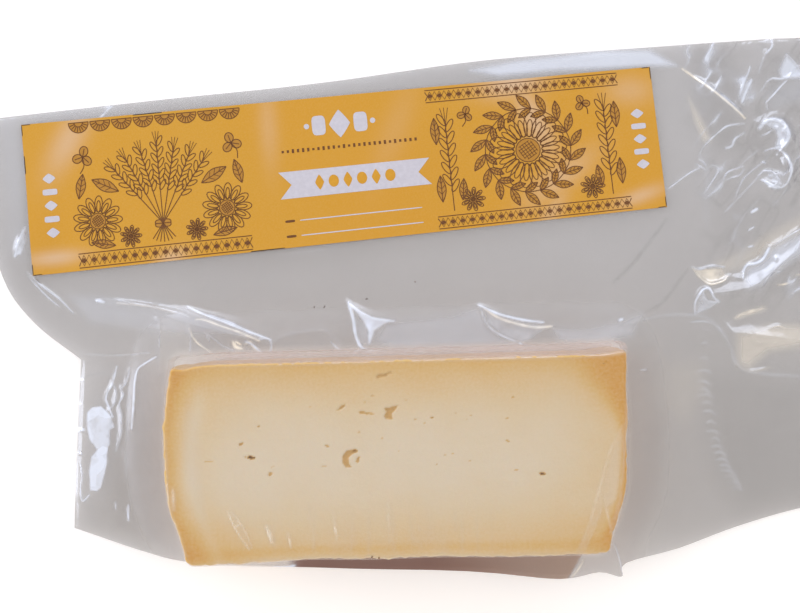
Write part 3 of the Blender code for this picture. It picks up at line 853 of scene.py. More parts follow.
# Creases and patches of the film over the cut face, with painted highlights
faceCreases = {
    "short creases along the front and at the left end": [
        crease(0.7, 228, 511, 232, 522, 240, 536, 249, 549, rise=0.4, line=0.34),
        crease(0.5, 229, 511, 237, 518, 246, 533, 252, 548, rise=0.3, line=0.34),
        crease(0.7, 236, 527, 239, 524, rise=0.2, line=0.34),
        crease(0.9, 266, 526, 269, 535, 272, 543, rise=0.3, line=0.45),
        crease(0.45, 267, 526, 271, 534, 274, 547, rise=0.2, line=0.34),
        crease(0.7, 289, 538, 291, 547, rise=0.3, line=0.4),
        crease(0.9, 335, 527, 336, 533, rise=0.3, line=0.5),
        crease(0.25, 333, 512, 336, 530, 337, 550, rise=0.2, line=0.8),
        crease(0.22, 388, 500, 389, 530, 389, 545, rise=0.2, line=0.8),
        crease(0.3, 419, 527, 420, 532, rise=0.2, line=0.6),
        crease(0.12, 309, 505, 310, 520, rise=0.1, line=1.0),
        crease(0.12, 455, 510, 456, 530, rise=0.1, line=1.0),
        crease(0.5, 173, 489, 174, 510, rise=0.3, line=0.7),
        crease(0.3, 166, 440, 167, 480, 171, 512, 181, 540, 187, 560, rise=0.1, line=0.4),
        crease(0.45, 268, 528, 271, 536, 273, 543, rise=0.1, line=0.9),
        crease(0.22, 231, 515, 239, 528, 248, 544, rise=0.1, line=1.3),
        crease(0.3, 288, 533, 291, 546, rise=0.1, line=0.8),
    ],
    "the pleat on the right": [
        crease(0.3, 624, 425, 610, 452, 600, 487, 590, 522, 578, 555, rise=0.5, flanks=(2.4, 1.6), line=0.7),
        crease(0.35, 600, 488, 606, 508, 611, 530, 618, 556, rise=0.5, flanks=(1.4, 2.4), line=0.5),
        crease(0.25, 604, 500, 594, 528, 583, 555, rise=0.3, line=0.5),
    ],
    "rims": [
        crease(0.3, 627, 362, 627, 402, 625, 440, 622, 480, 618, 516, rise=0.2, line=0.5),
        crease(0.22, 216, 364, 300, 361, 400, 359, 500, 357, 625, 354, rise=0.1, line=0.5, field="warmHighlight"),
    ],
}
faceFacets = {
    "doubled film": [
        facet("warmHighlight", 0.3, 0.8, 622, 428, 611, 455, 601, 487, 606, 508, 616, 500, 620, 470, 624, 440),
        facet("warmHighlight", 0.26, 0.7, 600, 492, 603, 502, 592, 532, 583, 554, 575, 555, 588, 524),
        facet("warmHighlight", 0.1, 1.6, 187, 400, 198, 430, 203, 470, 205, 515, 196, 500, 186, 470, 181, 430),
        facet("coolHighlight", 0.2, 0.8, 612, 520, 618, 500, 623, 490, 622, 520, 624, 556, 614, 553),
    ],
}

# The film's zones round the slice, in millimetres: how it faces (1 is back, -1 front), where each starts and ends
# outside the slice, and where it begins from the left
zones = {
    "fold": {"way": (-0.5, -0.85), "starts": (1.8, 3.2), "ends": (19.0, 15.0), "left": (-57.0, -49.0),
             "slant": (64.0, 62.5), "fades": (46.0, 5.0)},
    "shadeBeside": {"way": (0.6, -0.2), "starts": (0.5, 3.0), "ends": (26.0, 6.0)},
    "wall": {"way": (0.3, 0.8), "starts": (-1.8, 0.3), "ends": (5.5, 1.5), "left": (-104.0, -74.0)},
    "turned": {"way": (-3.0, -2.0), "starts": (1.0, 2.5), "ends": (24.0, 14.0)},
}

# A chain of small embossed wrinkles down the right flap, in pixels, each with a painted highlight
wrinkleChain = {
    "path": [(704, 338), (703, 380), (706, 402), (712, 432), (719, 455), (729, 474), (738, 492)],
    "count": 19,
    "length": 6.0,
    "rise": 0.22,
    "flank": 1.1,
    "white": 0.22,
    "seed": 4,
}


def droop(out):
    return pouch["lying"] + (pouch["flapAtWall"] - pouch["lying"]) * np.exp(
        -(np.maximum(out, 0) / pouch["droopLength"]) ** pouch["droopPower"])


def sectionCurve(points, under):
    # a dense section: length along the film, distance out and height
    smooth = np.array(rounded(points, 14))
    far = np.arange(smooth[-1][0] + 0.5, 320, 0.5)
    outs = np.concatenate([smooth[:, 0], far])
    lastGap = smooth[-1][1] - droop(smooth[-1][0])
    settle = np.exp(-(far - smooth[-1][0]) / 8.0)
    highs = np.concatenate([smooth[:, 1], droop(far) + under + (lastGap - under) * settle])
    outs = np.maximum.accumulate(outs + np.arange(len(outs)) * 1e-7)
    length = np.concatenate([[0], np.cumsum(np.hypot(np.diff(outs), np.diff(highs)))])
    length = length - np.interp(0.0, outs, length)
    return length, outs, highs


def nearPath(x, y, path, reach):
    # which points lie close enough to a path to be touched by it
    xs, ys = zip(*path)
    return (x > min(xs) - reach) & (x < max(xs) + reach) & (y > min(ys) - reach) & (y < max(ys) + reach)


def addRidge(height, x, y, path, rise, left, right, power=1.25, taper=0.1):
    # raises a line with a flank on each side
    near = nearPath(x, y, path, max(left, right))
    gap, side, along = distanceToPath(x[near], y[near], path)
    flank = np.where(side > 0, left, right)
    ends = np.sin(math.pi * (taper + (1 - 2 * taper) * along))
    height[near] += rise * ends * np.clip(1 - gap / flank, 0, 1) ** power


def addLine(shine, x, y, path, white, width):
    # paints a line into a field: a highlight in the light fields, shade in the dim one
    near = nearPath(x, y, path, 3 * width)
    gap, _, along = distanceToPath(x[near], y[near], path)
    ends = np.sin(math.pi * (0.16 + 0.68 * along)) ** 0.7
    broken = 0.8 + 0.3 * softNoise(x[near], y[near], 2.3, 77)
    shine[near] = np.maximum(shine[near], white * ends * broken * np.exp(-(gap / width) ** 2))


def addFacet(shine, x, y, corners, strength, softness):
    # paints a patch into a field inside an outline: a highlight in the light fields, shade in the dim one
    near = nearPath(x, y, corners, softness)
    px, py = x[near], y[near]
    amount, grain = (0.45, 4.0) if softness < 1.3 else (0.16, 16.0)
    uneven = 1 - amount / 2 + amount * layeredNoise(px, py, grain, 83)
    shine[near] = np.maximum(shine[near], strength * uneven * shareInside(px, py, corners, softness))


def pressInto(fields, x, y, lines, patches, level):
    # adds creases and patches to the film's fields of height, light and shade
    for made in [entry for group in lines.values() for entry in group]:
        path = rounded([fromPhoto(px, py, level) for px, py in made["path"]])
        addRidge(fields["height"], x, y, path, made["rise"], *made["flanks"])
        if made["white"]:
            addLine(fields[made["field"]], x, y, path, made["white"], made["line"])
        if made["dim"]:
            addLine(fields["dim"], x, y, path, made["dim"], 2 * made["line"])
    for made in [entry for group in patches.values() for entry in group]:
        corners = [fromPhoto(px, py, level) for px, py in made["corners"]]
        addFacet(fields[made["field"]], x, y, corners, made["strength"], made["softness"])


def labelShare(x, y):
    # 1 under the label, where the film is held flat, and 0 away from it
    u, v = toLabel(x, y)
    outside = np.hypot(np.maximum(np.maximum(-u, u - 1) * label["length"], 0),
                       np.maximum(np.maximum(-v, v - 1) * label["width"], 0))
    return smoothStep(4.0, 0.5, outside)


def broadHeight(x, y):
    total = np.zeros(np.shape(x))
    for path, height, half in broadFolds.values():
        fold = np.zeros(np.shape(x))
        addRidge(fold, x, y, rounded(path), height, half, half, 1.4, 0.12)
        total = np.maximum(total, fold)
    return total


def chainPaths():
    rng = random.Random(wrinkleChain["seed"])
    path = rounded([fromPhoto(*p) for p in wrinkleChain["path"]])
    made = []
    for i in range(wrinkleChain["count"]):
        at = (i + 0.5) / wrinkleChain["count"] * (len(path) - 1)
        low = int(at)
        here = Vector(path[low]).lerp(Vector(path[min(low + 1, len(path) - 1)]), at - low)
        angle = rng.uniform(-0.3, -0.1)
        half = wrinkleChain["length"] / 2 * rng.uniform(0.6, 1.15)
        across = Vector((math.cos(angle), math.sin(angle))) * half
        bow = Vector((0, rng.uniform(0.7, 1.1)))
        made.append([tuple(here - across), tuple(here + bow), tuple(here + across)])
    return made


def flapFields(x, y):
    # creases, crumples and slow waves of the loose flaps, with their painted highlights and shade
    fields = {name: np.zeros(np.shape(x)) for name in ("height", "coolHighlight", "warmHighlight", "dim")}
    pressInto(fields, x, y, creases, facets, 2.0)
    for points in chainPaths():
        path = rounded(points)
        flank = wrinkleChain["flank"]
        addRidge(fields["height"], x, y, path, wrinkleChain["rise"], flank, flank)
        addLine(fields["coolHighlight"], x, y, path, wrinkleChain["white"], 0.5)
    for seed, (grain, height) in enumerate(pouch["waves"]):
        fields["height"] += height * (softNoise(x, y, grain, 40 + seed) + 0.6)
    # the crumpled right end is rougher than the rest, with short slanting streaks of painted highlight and painted
    # shade
    crumpled = smoothStep(112.0, 128.0, x + 0.12 * y) * smoothStep(-8.0, 12.0, y)
    along, across = 0.55 * x + 0.83 * y, 0.83 * x - 0.55 * y
    streak = (1 - np.abs(softNoise(across, along * 0.32, 3.4, 51))) ** 6
    patch = smoothStep(0.0, 0.7, layeredNoise(x, y, 13.0, 57))
    fields["height"] += crumpled * 0.5 * streak
    fields["coolHighlight"] = np.maximum(fields["coolHighlight"], 0.6 * crumpled * streak * patch)
    shade = (1 - np.abs(softNoise(across + 1.3, along * 0.32, 4.1, 53))) ** 4
    fields["dim"] = np.maximum(fields["dim"], 0.5 * crumpled * shade)
    return fields


def faceFields(x, y):
    fields = {name: np.zeros(np.shape(x)) for name in ("height", "coolHighlight", "warmHighlight", "dim")}
    pressInto(fields, x, y, faceCreases, faceFacets, cheese["top"])
    # upright ripples along the front of the face, with a painted highlight along them
    front = y - fromPhoto(400, 556, cheese["top"])[1]
    ripple = (1 - np.abs(softNoise(x, 0.12 * y, 5.2, 63))) ** 4
    ripple = ripple * smoothStep(0.0, 3.0, front) * smoothStep(26.0, 8.0, front)
    ripple = ripple * smoothStep(-70.0, -50.0, x) * smoothStep(38.0, 8.0, x)
    fields["height"] += 0.12 * ripple
    fields["warmHighlight"] = np.maximum(fields["warmHighlight"], np.maximum(1.25 * fields["coolHighlight"], 0.16 * ripple))
    fields["coolHighlight"] = 0 * fields["coolHighlight"]
    return fields


def borderInSheet(path, section, count):
    # points of the outline in plan, taken back to where they are in the flat sheet
    length, outs = section[:2]
    dense = []
    for (ax, ay), (bx, by) in zip(path, path[1:]):
        for step in range(40):
            dense.append((ax + (bx - ax) * step / 40, ay + (by - ay) * step / 40))
    dense = np.array(dense + [path[-1]])
    a, b = toCheese(dense[:, 0], dense[:, 1])
    a = squared(a, b)
    k, l, na, nb, out = fromCore(a, b)
    reach = cheese["cornerRadius"] + np.interp(out, outs, length)
    u, v = k + na * reach, l + nb * reach
    along = np.concatenate([[0], np.cumsum(np.hypot(np.diff(u), np.diff(v)))])
    at = np.linspace(0, along[-1], count)
    return np.stack([np.interp(at, along, u), np.interp(at, along, v)], axis=1)


def sheetGrid(section, spacing):
    # a grid that fills the sheet's outline, spread between its four sides
    across, deep = int(410 / spacing), int(285 / spacing)
    front = borderInSheet(rounded(outline["front"], 4), section, across)
    back = borderInSheet(rounded(outline["back"], 8), section, across)
    left = borderInSheet(outline["left"][:2] + rounded(outline["left"][1:], 8)[1:], section, deep)
    right = borderInSheet(outline["right"], section, deep)
    s = np.linspace(0, 1, across)[None, :, None]
    t = np.linspace(0, 1, deep)[:, None, None]
    grid = ((1 - t) * front[None] + t * back[None] + (1 - s) * left[:, None] + s * right[:, None]
            - (1 - s) * (1 - t) * front[0] - s * (1 - t) * front[-1] - (1 - s) * t * back[0] - s * t * back[-1])
    fromSides = np.minimum(np.arange(across), np.arange(across)[::-1])[None, :]
    fromEnds = np.minimum(np.arange(deep), np.arange(deep)[::-1])[:, None]
    fromRight = np.arange(across)[::-1][None, :] * spacing + 0 * fromEnds
    return grid[..., 0], grid[..., 1], np.minimum(fromSides, fromEnds) * spacing, fromRight


def makeFilm(name, points, under, spacing, parts, material):
    section = sectionCurve(points, under)
    length, outs, highs = section
    u, v, fromEdge, fromRight = sheetGrid(section, spacing)
    k, l, na, nb, past = fromCore(u, v)
    out = np.interp(past, length, outs)
    inner = past < length[0]
    out = np.where(inner, past - length[0] + outs[0], out)
    z = np.where(inner, highs[0], np.interp(past, length, highs))

    # down the wall the film stands off a little, most behind the cheese, and in upright pleats
    wallEnd = float(np.interp(9.0, outs, length))
    onWall = np.sin(math.pi * np.clip(past / wallEnd, 0, 1)) ** 2
    tent = pouch["tent"]["other"] + (pouch["tent"]["back"] - pouch["tent"]["other"]) * smoothStep(0.3, 0.9, nb)
    if under < 0:
        tent = 0.3
    pleat = pouch["pleats"] * layeredNoise(k + 3 * na, l + 3 * nb, 5.0, 23)
    shift = onWall * (tent + pleat)
    reach = np.where(past > -cheese["cornerRadius"], cheese["cornerRadius"] + out + shift, 0)
    a, b = k + na * reach, l + nb * reach
    x, y = toPlan(unsquared(a, b, z, np.exp(-np.maximum(out - 0.5, 0) / 4.0)), b)

    # the corners follow the cheese's own, less and less away from it
    wayX, wayY, share = wayOut(a, b)
    follow = cornerShift(x, y) * share * np.exp(-np.maximum(out, 0) / 8.0)
    x, y = x + wayX * follow, y + wayY * follow

    # loose away from the cheese, tight on it
    loose = 1 - np.exp(-(np.maximum(out, 0) / 8.0) ** 2)
    free = loose * (1 - 0.93 * labelShare(x, y))
    seal = smoothStep(0.0, pouch["sealWidth"], fromEdge)
    flap = flapFields(x, y)
    z = z + broadHeight(x, y) * loose + np.maximum(flap["height"], -0.2) * free * (0.35 + 0.65 * seal)
    away = smoothStep(1.0, 6.0, out)
    coolHighlight, warmHighlight, dim = flap["coolHighlight"] * away, flap["warmHighlight"] * away, flap["dim"] * away
    if under < 0:
        z = z + 0.05 * softNoise(x, y, 8.0, 61) * loose
        z = np.where(out < 0, highs[0], z)
        coolHighlight, warmHighlight, dim = 0 * coolHighlight, 0 * warmHighlight, 0 * dim
    else:
        over = smoothStep(1.2, -0.4, out)
        face = faceFields(x, y)
        z = z + face["height"] * over + 0.06 * (1 + softNoise(x, y, 11.0, 33)) * over
        coolHighlight, warmHighlight = coolHighlight + face["coolHighlight"] * over, warmHighlight + face["warmHighlight"] * over
    z = np.where(out > 9, np.where(under < 0, -1.0, 1.0) * pouch["halfGap"] * (seal - 1) + z, z)
    z = np.maximum(z, 0.1)

    # the heat seal across the right end, ribbed, with a painted highlight along each rib
    ribs = pouch["endSeal"]
    inSeal = smoothStep(ribs["from"] - 0.5, ribs["from"], fromRight)
    inSeal = inSeal * smoothStep(ribs["to"] + 0.5, ribs["to"], fromRight)
    wave = np.sin(2 * math.pi * fromRight / ribs["pitch"])
    z = z + 0.12 * inSeal * wave
    coolHighlight = np.maximum(coolHighlight, inSeal * (0.14 + 0.10 * wave))

    # the film in front of the cheese is folded, and its shadow is painted on it as a dark brown tint; close to the
    # other sides a warm shade is painted on
    # where it turns from the wall into the flap it is dull, so that no line of light runs all round
    values = {}
    for field, zone in zones.items():
        values[field] = smoothStep(*zone["way"], nb) * smoothStep(*zone["starts"], out)
        values[field] *= smoothStep(*zone["ends"], out)
    foldShadowZone = zones["fold"]
    values["fold"] *= smoothStep(*foldShadowZone["left"], x) * smoothStep(*foldShadowZone["slant"], x - 0.5 * (y + 98))
    values["fold"] *= 0.6 + 0.4 * smoothStep(*foldShadowZone["fades"], x)
    values["shadeBeside"] *= 1 - values["fold"]
    values["wall"] *= smoothStep(*zones["wall"]["left"], x) * (0.8 + 0.3 * layeredNoise(x, 3 * y, 14.0, 71))
    values["loose"] = smoothStep(-1.0, 7.0, out)
    values["dim"] = np.clip(dim * (1 - coolHighlight), 0, 1)
    values["coolHighlight"] = np.clip(coolHighlight, 0, 1)
    values["warmHighlight"] = np.clip(warmHighlight, 0, 1)

    made = []
    across = x.shape[1]
    for part in range(parts):
        first, last = part * (across - 1) // parts, (part + 1) * (across - 1) // parts + 1
        cut = (slice(None), slice(first, last))
        points = list(zip(x[cut].ravel(), y[cut].ravel(), z[cut].ravel()))
        piece = meshObject(name if parts == 1 else f"{name}_{part + 1}", points,
                           gridFaces(last - first, x.shape[0]), material,
                           {field: value[cut].ravel() for field, value in values.items()})
        if under < 0:
            piece.data.flip_normals()
        made.append(piece)
    return made


def filmMaterial():
    material, tree, shader = newMaterial("clearFilm", 0.1, ior=2.1, specular=1.0)
    loose, coolHighlight, warmHighlight, dim, fold, shadeBeside, wall, turned = (readAttribute(tree, name) for name in (
        "loose", "coolHighlight", "warmHighlight", "dim", "fold", "shadeBeside", "wall", "turned"))
    where = nodeIn(tree, "ShaderNodeTexCoord").outputs["Object"]
    parted = nodeIn(tree, "ShaderNodeSeparateXYZ", {"Vector": where}).outputs
    # painted shade: the film's tint is darker towards the front, away from the back lamp
    litTowardsBack = remap(tree, parted["Y"], -0.085, 0.085, 0, 1)
    toRight = remap(tree, parted["X"], 0.0, 0.062, 0, 1)
    tint = blendColours(tree, litTowardsBack, (98, 89, 87), (113, 111, 119))
    tint = blendColours(tree, loose, (214, 204, 196), tint)
    # the tint carries painted light and shade: a warm painted shade beside the slice, painted shade where the film
    # is dim, the painted shadow on the folded film in front, the tint over the wall, and warm and cool painted
    # highlights
    for share, colour in (
            (calculate(tree, "MULTIPLY", shadeBeside, 0.6), (112, 84, 76)),
            (calculate(tree, "MULTIPLY", dim, 0.7), (78, 72, 72)),
            (remap(tree, fold, 0, 0.6, 0, 1), blendColours(tree, toRight, (120, 82, 69), (158, 128, 108))),
            (wall, (222, 202, 196)),
            (remap(tree, warmHighlight, 0, 0.4, 0, 1), (244, 234, 214)),
            (remap(tree, coolHighlight, 0, 0.4, 0, 1), (220, 231, 252))):
        tint = blendColours(tree, share, tint, colour)
    tree.links.new(tint, shader.inputs["Base Color"])
    tree.links.new(remap(tree, fold, 0, 1, 1.0, 0.35), shader.inputs["Specular IOR Level"])

    cloud = remap(tree, noiseAt(tree, 14, 3), 0.3, 0.7, -0.012, 0.012)
    alpha = calculate(tree, "ADD", remap(tree, loose, 0, 1, 0.07, 0.345), cloud)
    steep = nodeIn(tree, "ShaderNodeLayerWeight", {"Blend": 0.5}).outputs["Facing"]
    steep = calculate(tree, "POWER", steep, 3.0)
    bright = calculate(tree, "MAXIMUM", coolHighlight, warmHighlight)
    for share, amount in ((steep, 0.3), (fold, 0.78), (wall, 0.3), (dim, 0.25), (bright, 0.75)):
        alpha = calculate(tree, "ADD", alpha, calculate(tree, "MULTIPLY", share, amount))
    tree.links.new(calculate(tree, "MINIMUM", alpha, 0.95), shader.inputs["Alpha"])
    rough = remap(tree, noiseAt(tree, 60, 3), 0.3, 0.7, 0.09, 0.18)
    rough = calculate(tree, "ADD", rough, calculate(tree, "MULTIPLY", turned, 0.5))
    tree.links.new(rough, shader.inputs["Roughness"])
    addBump(tree, shader, noiseAt(tree, 150, 3, (1.0, 0.6, 1.0), 0.4), 0.0006, 0.35)
    return material


# The label: a long strip of satin paper stuck to the flap behind the cheese

label = {
    "frontLeft": (-160.6, 12.1),
    "frontRight": (98.6, 40.4),
    "backRight": (91.6, 97.8),
    "backLeft": (-165.9, 74.0),
    "length": 259.0,
    "width": 60.0,
    "cells": (150, 36),
    "gap": 0.45,
    "thickness": 0.18,
    "leftLift": 2.2,
}

# Soft veils of light on the satin paper: pixel place, half length, half width, turn in degrees, strength
veils = {
    "left, upper": ((68, 140), 16.0, 6.0, 62, 0.30),
    "left corner": ((55, 258), 12.0, 3.0, 6, 0.36),
    "left, low": ((172, 258), 7.0, 3.5, 20, 0.30),
    "before the middle": ((268, 125), 18.0, 4.0, -86, 0.16),
    "middle, right": ((395, 130), 22.0, 6.0, 70, 0.08),
    "right, top": ((512, 82), 13.0, 6.0, 10, 0.42),
    "right, slanting": ((534, 118), 17.0, 5.0, -62, 0.34),
    "right, middle": ((560, 178), 17.0, 5.5, 38, 0.26),
    "right, low": ((552, 212), 12.0, 4.0, 60, 0.20),
    "right end": ((640, 196), 11.0, 3.0, 20, 0.30),
    "right end, top": ((630, 90), 10.0, 6.0, 0, 0.20),
}


def onLabel(u, v):
    # plan place of a share of the label's length and width
    corners = [np.array(label[name]) for name in ("frontLeft", "frontRight", "backRight", "backLeft")]
    u, v = np.asarray(u)[..., None], np.asarray(v)[..., None]
    at = (1 - v) * ((1 - u) * corners[0] + u * corners[1]) + v * ((1 - u) * corners[3] + u * corners[2])
    return at[..., 0], at[..., 1]


def toLabel(x, y):
    # the share of the label's length and width at a place in plan
    origin = np.array(label["frontLeft"])
    along = np.array(label["frontRight"]) - origin
    up = np.array(label["backLeft"]) - origin
    det = along[0] * up[1] - along[1] * up[0]
    dx, dy = x - origin[0], y - origin[1]
    return (dx * up[1] - dy * up[0]) / det, (dy * along[0] - dx * along[1]) / det


def labelHeight(x, y):
    a, b = toCheese(x, y)
    out = fromCore(squared(a, b), b)[4]
    u, v = toLabel(x, y)
    bow = 0.35 * softNoise(x, y, 42.0, 71) + 0.25
    lift = label["leftLift"] * smoothStep(0.06, -0.01, u) * smoothStep(0.75, 0.2, v)
    return droop(out) + broadHeight(x, y) + label["gap"] + bow + lift


def veilAt(x, y):
    total = np.zeros(np.shape(x))
    for (px, py), halfLength, halfWidth, turn, strength in veils.values():
        along, beside = inEllipse(x, y, fromPhoto(px, py, 3.0), turn, halfLength, halfWidth)
        total = np.maximum(total, strength * np.exp(-(along ** 2 + beside ** 2)))
    return total


def makeLabel(material):
    across, deep = label["cells"]
    u, v = np.meshgrid(np.linspace(0, 1, across + 1), np.linspace(0, 1, deep + 1))
    x, y = onLabel(u, v)
    z = labelHeight(x, y)
    under = list(zip(x.ravel(), y.ravel(), z.ravel()))
    over = list(zip(x.ravel(), y.ravel(), (z + label["thickness"]).ravel()))
    wide, size = across + 1, len(under)
    faces = [tuple(reversed(face)) for face in gridFaces(wide, deep + 1)]
    faces += gridFaces(wide, deep + 1, size)
    rim = gridRim(wide, deep + 1)
    for a, b in zip(rim, rim[1:] + rim[:1]):
        faces.append((a, b, size + b, size + a))
    made = meshObject("label_paper", under + over, faces, material, {"veil": np.tile(veilAt(x, y).ravel(), 2)})
    made.data.set_sharp_from_angle(angle=math.radians(40))
    return made


def paperMaterial():
    material, tree, shader = newMaterial("labelPaper", 0.34)
    wash = noiseAt(tree, 9, 3)
    colour = colourRamp(tree, wash, [(0.3, (207, 149, 30)), (0.6, (206, 151, 36)), (0.8, (206, 155, 48))])
    fibre = noiseAt(tree, 1500, 3)
    colour = blendColours(tree, remap(tree, fibre, 0.4, 0.7, 0.0, 0.05), colour, (240, 215, 160))
    # painted sheen: the veils of light lighten the paper's colour
    colour = blendColours(tree, readAttribute(tree, "veil"), colour, (226, 216, 214))
    tree.links.new(colour, shader.inputs["Base Color"])
    shader.inputs["Coat Weight"].default_value = 0.16
    shader.inputs["Coat Roughness"].default_value = 0.2
    addBump(tree, shader, fibre, 0.00004, 0.4)
    return material


# The print: fields of colour, line ornaments and plain marks, laid on the paper in the label's own millimetres

inks = {
    "brown": {"colour": (104, 62, 22), "lift": 0.07, "piece": "label_lines"},
    "tan": {"colour": (178, 126, 42), "lift": 0.03, "piece": "label_patches"},
    "white": {"colour": (198, 197, 209), "lift": 0.05, "piece": "label_white"},
    "yellow": {"colour": (206, 150, 36), "lift": 0.09, "piece": "label_ribbon_marks"},
    "black": {"colour": (44, 32, 24), "lift": 0.06, "piece": "label_corner_ticks"},
}
printed = {name: ([], []) for name in inks}
lineWidth = 0.36


def newTree(name, inputs):
    # an empty tree with these inputs and a material, its inputs' sockets and its last node
    tree = bpy.data.node_groups.new(name, "GeometryNodeTree")
    tree.interface.new_socket("Geometry", in_out="INPUT", socket_type="NodeSocketGeometry")
    for inputName, kind in [*inputs.items(), ("Material", "Material")]:
        tree.interface.new_socket(inputName, in_out="INPUT", socket_type="NodeSocket" + kind)
    tree.interface.new_socket("Geometry", in_out="OUTPUT", socket_type="NodeSocketGeometry")
    return tree, tree.nodes.new("NodeGroupInput").outputs, tree.nodes.new("NodeGroupOutput")


def vector(tree, x=0.0, y=0.0, z=0.0):
    return nodeIn(tree, "ShaderNodeCombineXYZ", {"X": x, "Y": y, "Z": z}).outputs[0]


def closeTree(tree, take, out, instances):
    real = nodeIn(tree, "GeometryNodeRealizeInstances", {"Geometry": instances})
    done = nodeIn(tree, "GeometryNodeSetMaterial", {"Geometry": real.outputs[0], "Material": take["Material"]})
    tree.links.new(done.outputs[0], out.inputs["Geometry"])
    return tree


def barFieldTree():
    # bars side by side; the field's outline is a lozenge at power 1, a disc at 2 and a box at a high one
    tree, take, out = newTree("barField", {
        "Count": "Int", "Spacing": "Float", "Length": "Float", "Width": "Float", "Power": "Float",
        "Uneven": "Float", "Seed": "Int"})
    halfSpan = calculate(tree, "MULTIPLY", calculate(tree, "SUBTRACT", take["Count"], 1.0), take["Spacing"])
    halfSpan = calculate(tree, "MULTIPLY", halfSpan, 0.5)
    first = vector(tree, calculate(tree, "MULTIPLY", halfSpan, -1.0))
    line = nodeIn(tree, "GeometryNodeMeshLine", {
        "Count": take["Count"], "Start Location": first, "Offset": vector(tree, take["Spacing"])}, mode="OFFSET")
    bar = nodeIn(tree, "GeometryNodeMeshGrid", {
        "Size X": take["Width"], "Size Y": take["Length"], "Vertices X": 2, "Vertices Y": 7})
    spot = nodeIn(tree, "GeometryNodeInputPosition").outputs[0]
    across = nodeIn(tree, "ShaderNodeSeparateXYZ", {"Vector": spot}).outputs["X"]
    share = calculate(tree, "DIVIDE", across, calculate(tree, "ADD", halfSpan, take["Spacing"]))
    share = calculate(tree, "POWER", calculate(tree, "ABSOLUTE", share), take["Power"])
    shape = calculate(tree, "POWER", calculate(tree, "SUBTRACT", 1.0, share),
                      calculate(tree, "DIVIDE", 1.0, take["Power"]))
    chance = nodeIn(tree, "FunctionNodeRandomValue", {"Seed": take["Seed"]}, data_type="FLOAT").outputs["Value"]
    trimmed = calculate(tree, "SUBTRACT", 1.0, calculate(tree, "MULTIPLY", chance, take["Uneven"]))
    bars = nodeIn(tree, "GeometryNodeInstanceOnPoints", {
        "Points": line.outputs["Mesh"], "Instance": bar.outputs["Mesh"],
        "Scale": vector(tree, 1.0, calculate(tree, "MULTIPLY", shape, trimmed), 1.0)})
    return closeTree(tree, take, out, bars.outputs[0])


def loopShape(tree, length, width, line):
    # a pointed or round loop drawn as a flat line, from the origin outwards along X
    circle = nodeIn(tree, "GeometryNodeCurvePrimitiveCircle", {"Resolution": 18, "Radius": 0.5}, mode="RADIUS")
    loop = nodeIn(tree, "GeometryNodeTransform", {
        "Geometry": circle.outputs[0], "Scale": vector(tree, length, width, 1.0),
        "Translation": vector(tree, calculate(tree, "MULTIPLY", length, 0.5))})
    upright = nodeIn(tree, "GeometryNodeSetCurveNormal", {"Curve": loop.outputs[0]}, mode="Z_UP")
    ends = [vector(tree, calculate(tree, "MULTIPLY", line, side)) for side in (-0.5, 0.5)]
    section = nodeIn(tree, "GeometryNodeCurvePrimitiveLine", {"Start": ends[0], "End": ends[1]})
    return nodeIn(tree, "GeometryNodeCurveToMesh", {
        "Curve": upright.outputs[0], "Profile Curve": section.outputs[0]}).outputs[0]


def petalRingTree():
    # loops round a middle, as in a flower
    tree, take, out = newTree("petalRing", {
        "Count": "Int", "Inner Radius": "Float", "Petal Length": "Float", "Petal Width": "Float",
        "Line": "Float"})
    ring = nodeIn(tree, "GeometryNodeMeshCircle", {"Vertices": take["Count"], "Radius": take["Inner Radius"]})
    spot = nodeIn(tree, "GeometryNodeInputPosition").outputs[0]
    turn = nodeIn(tree, "FunctionNodeAlignRotationToVector", {"Vector": spot}, axis="X", pivot_axis="Z")
    petals = nodeIn(tree, "GeometryNodeInstanceOnPoints", {
        "Points": ring.outputs["Mesh"], "Rotation": turn.outputs[0],
        "Instance": loopShape(tree, take["Petal Length"], take["Petal Width"], take["Line"])})
    return closeTree(tree, take, out, petals.outputs[0])


def grainEarTree():
    # grains to the left and right of a stem along X
    tree, take, out = newTree("grainEar", {
        "Count": "Int", "Spacing": "Float", "Grain Length": "Float", "Grain Width": "Float", "Lean": "Float",
        "Line": "Float"})
    line = nodeIn(tree, "GeometryNodeMeshLine", {
        "Count": take["Count"], "Offset": vector(tree, take["Spacing"])}, mode="OFFSET")
    index = nodeIn(tree, "GeometryNodeInputIndex").outputs[0]
    side = calculate(tree, "MULTIPLY", calculate(tree, "MODULO", index, 2.0), 2.0)
    side = calculate(tree, "SUBTRACT", side, 1.0)
    turn = vector(tree, z=calculate(tree, "MULTIPLY", side, take["Lean"]))
    grains = nodeIn(tree, "GeometryNodeInstanceOnPoints", {
        "Points": line.outputs["Mesh"], "Rotation": turn,
        "Instance": loopShape(tree, take["Grain Length"], take["Grain Width"], take["Line"])})
    return closeTree(tree, take, out, grains.outputs[0])


def grow(tree, values):
    # runs a node tree and gives back its plain mesh
    holder = bpy.data.objects.new("holder", bpy.data.meshes.new("holder"))
    bpy.context.scene.collection.objects.link(holder)
    modifier = holder.modifiers.new("nodes", "NODES")
    modifier.node_group = tree
    for item in tree.interface.items_tree:
        if item.item_type == "SOCKET" and item.in_out == "INPUT" and item.name in values:
            modifier[item.identifier] = values[item.name]
    bpy.context.view_layer.update()
    graph = bpy.context.evaluated_depsgraph_get()
    made = bpy.data.meshes.new_from_object(holder.evaluated_get(graph))
    bpy.data.objects.remove(holder)
    return made


trees = {"bars": barFieldTree(), "petals": petalRingTree(), "ears": grainEarTree()}


def printShape(ink, points, faces):
    allPoints, allFaces = printed[ink]
    start = len(allPoints)
    allPoints += [tuple(p) for p in points]
    allFaces += [tuple(start + i for i in face) for face in faces]


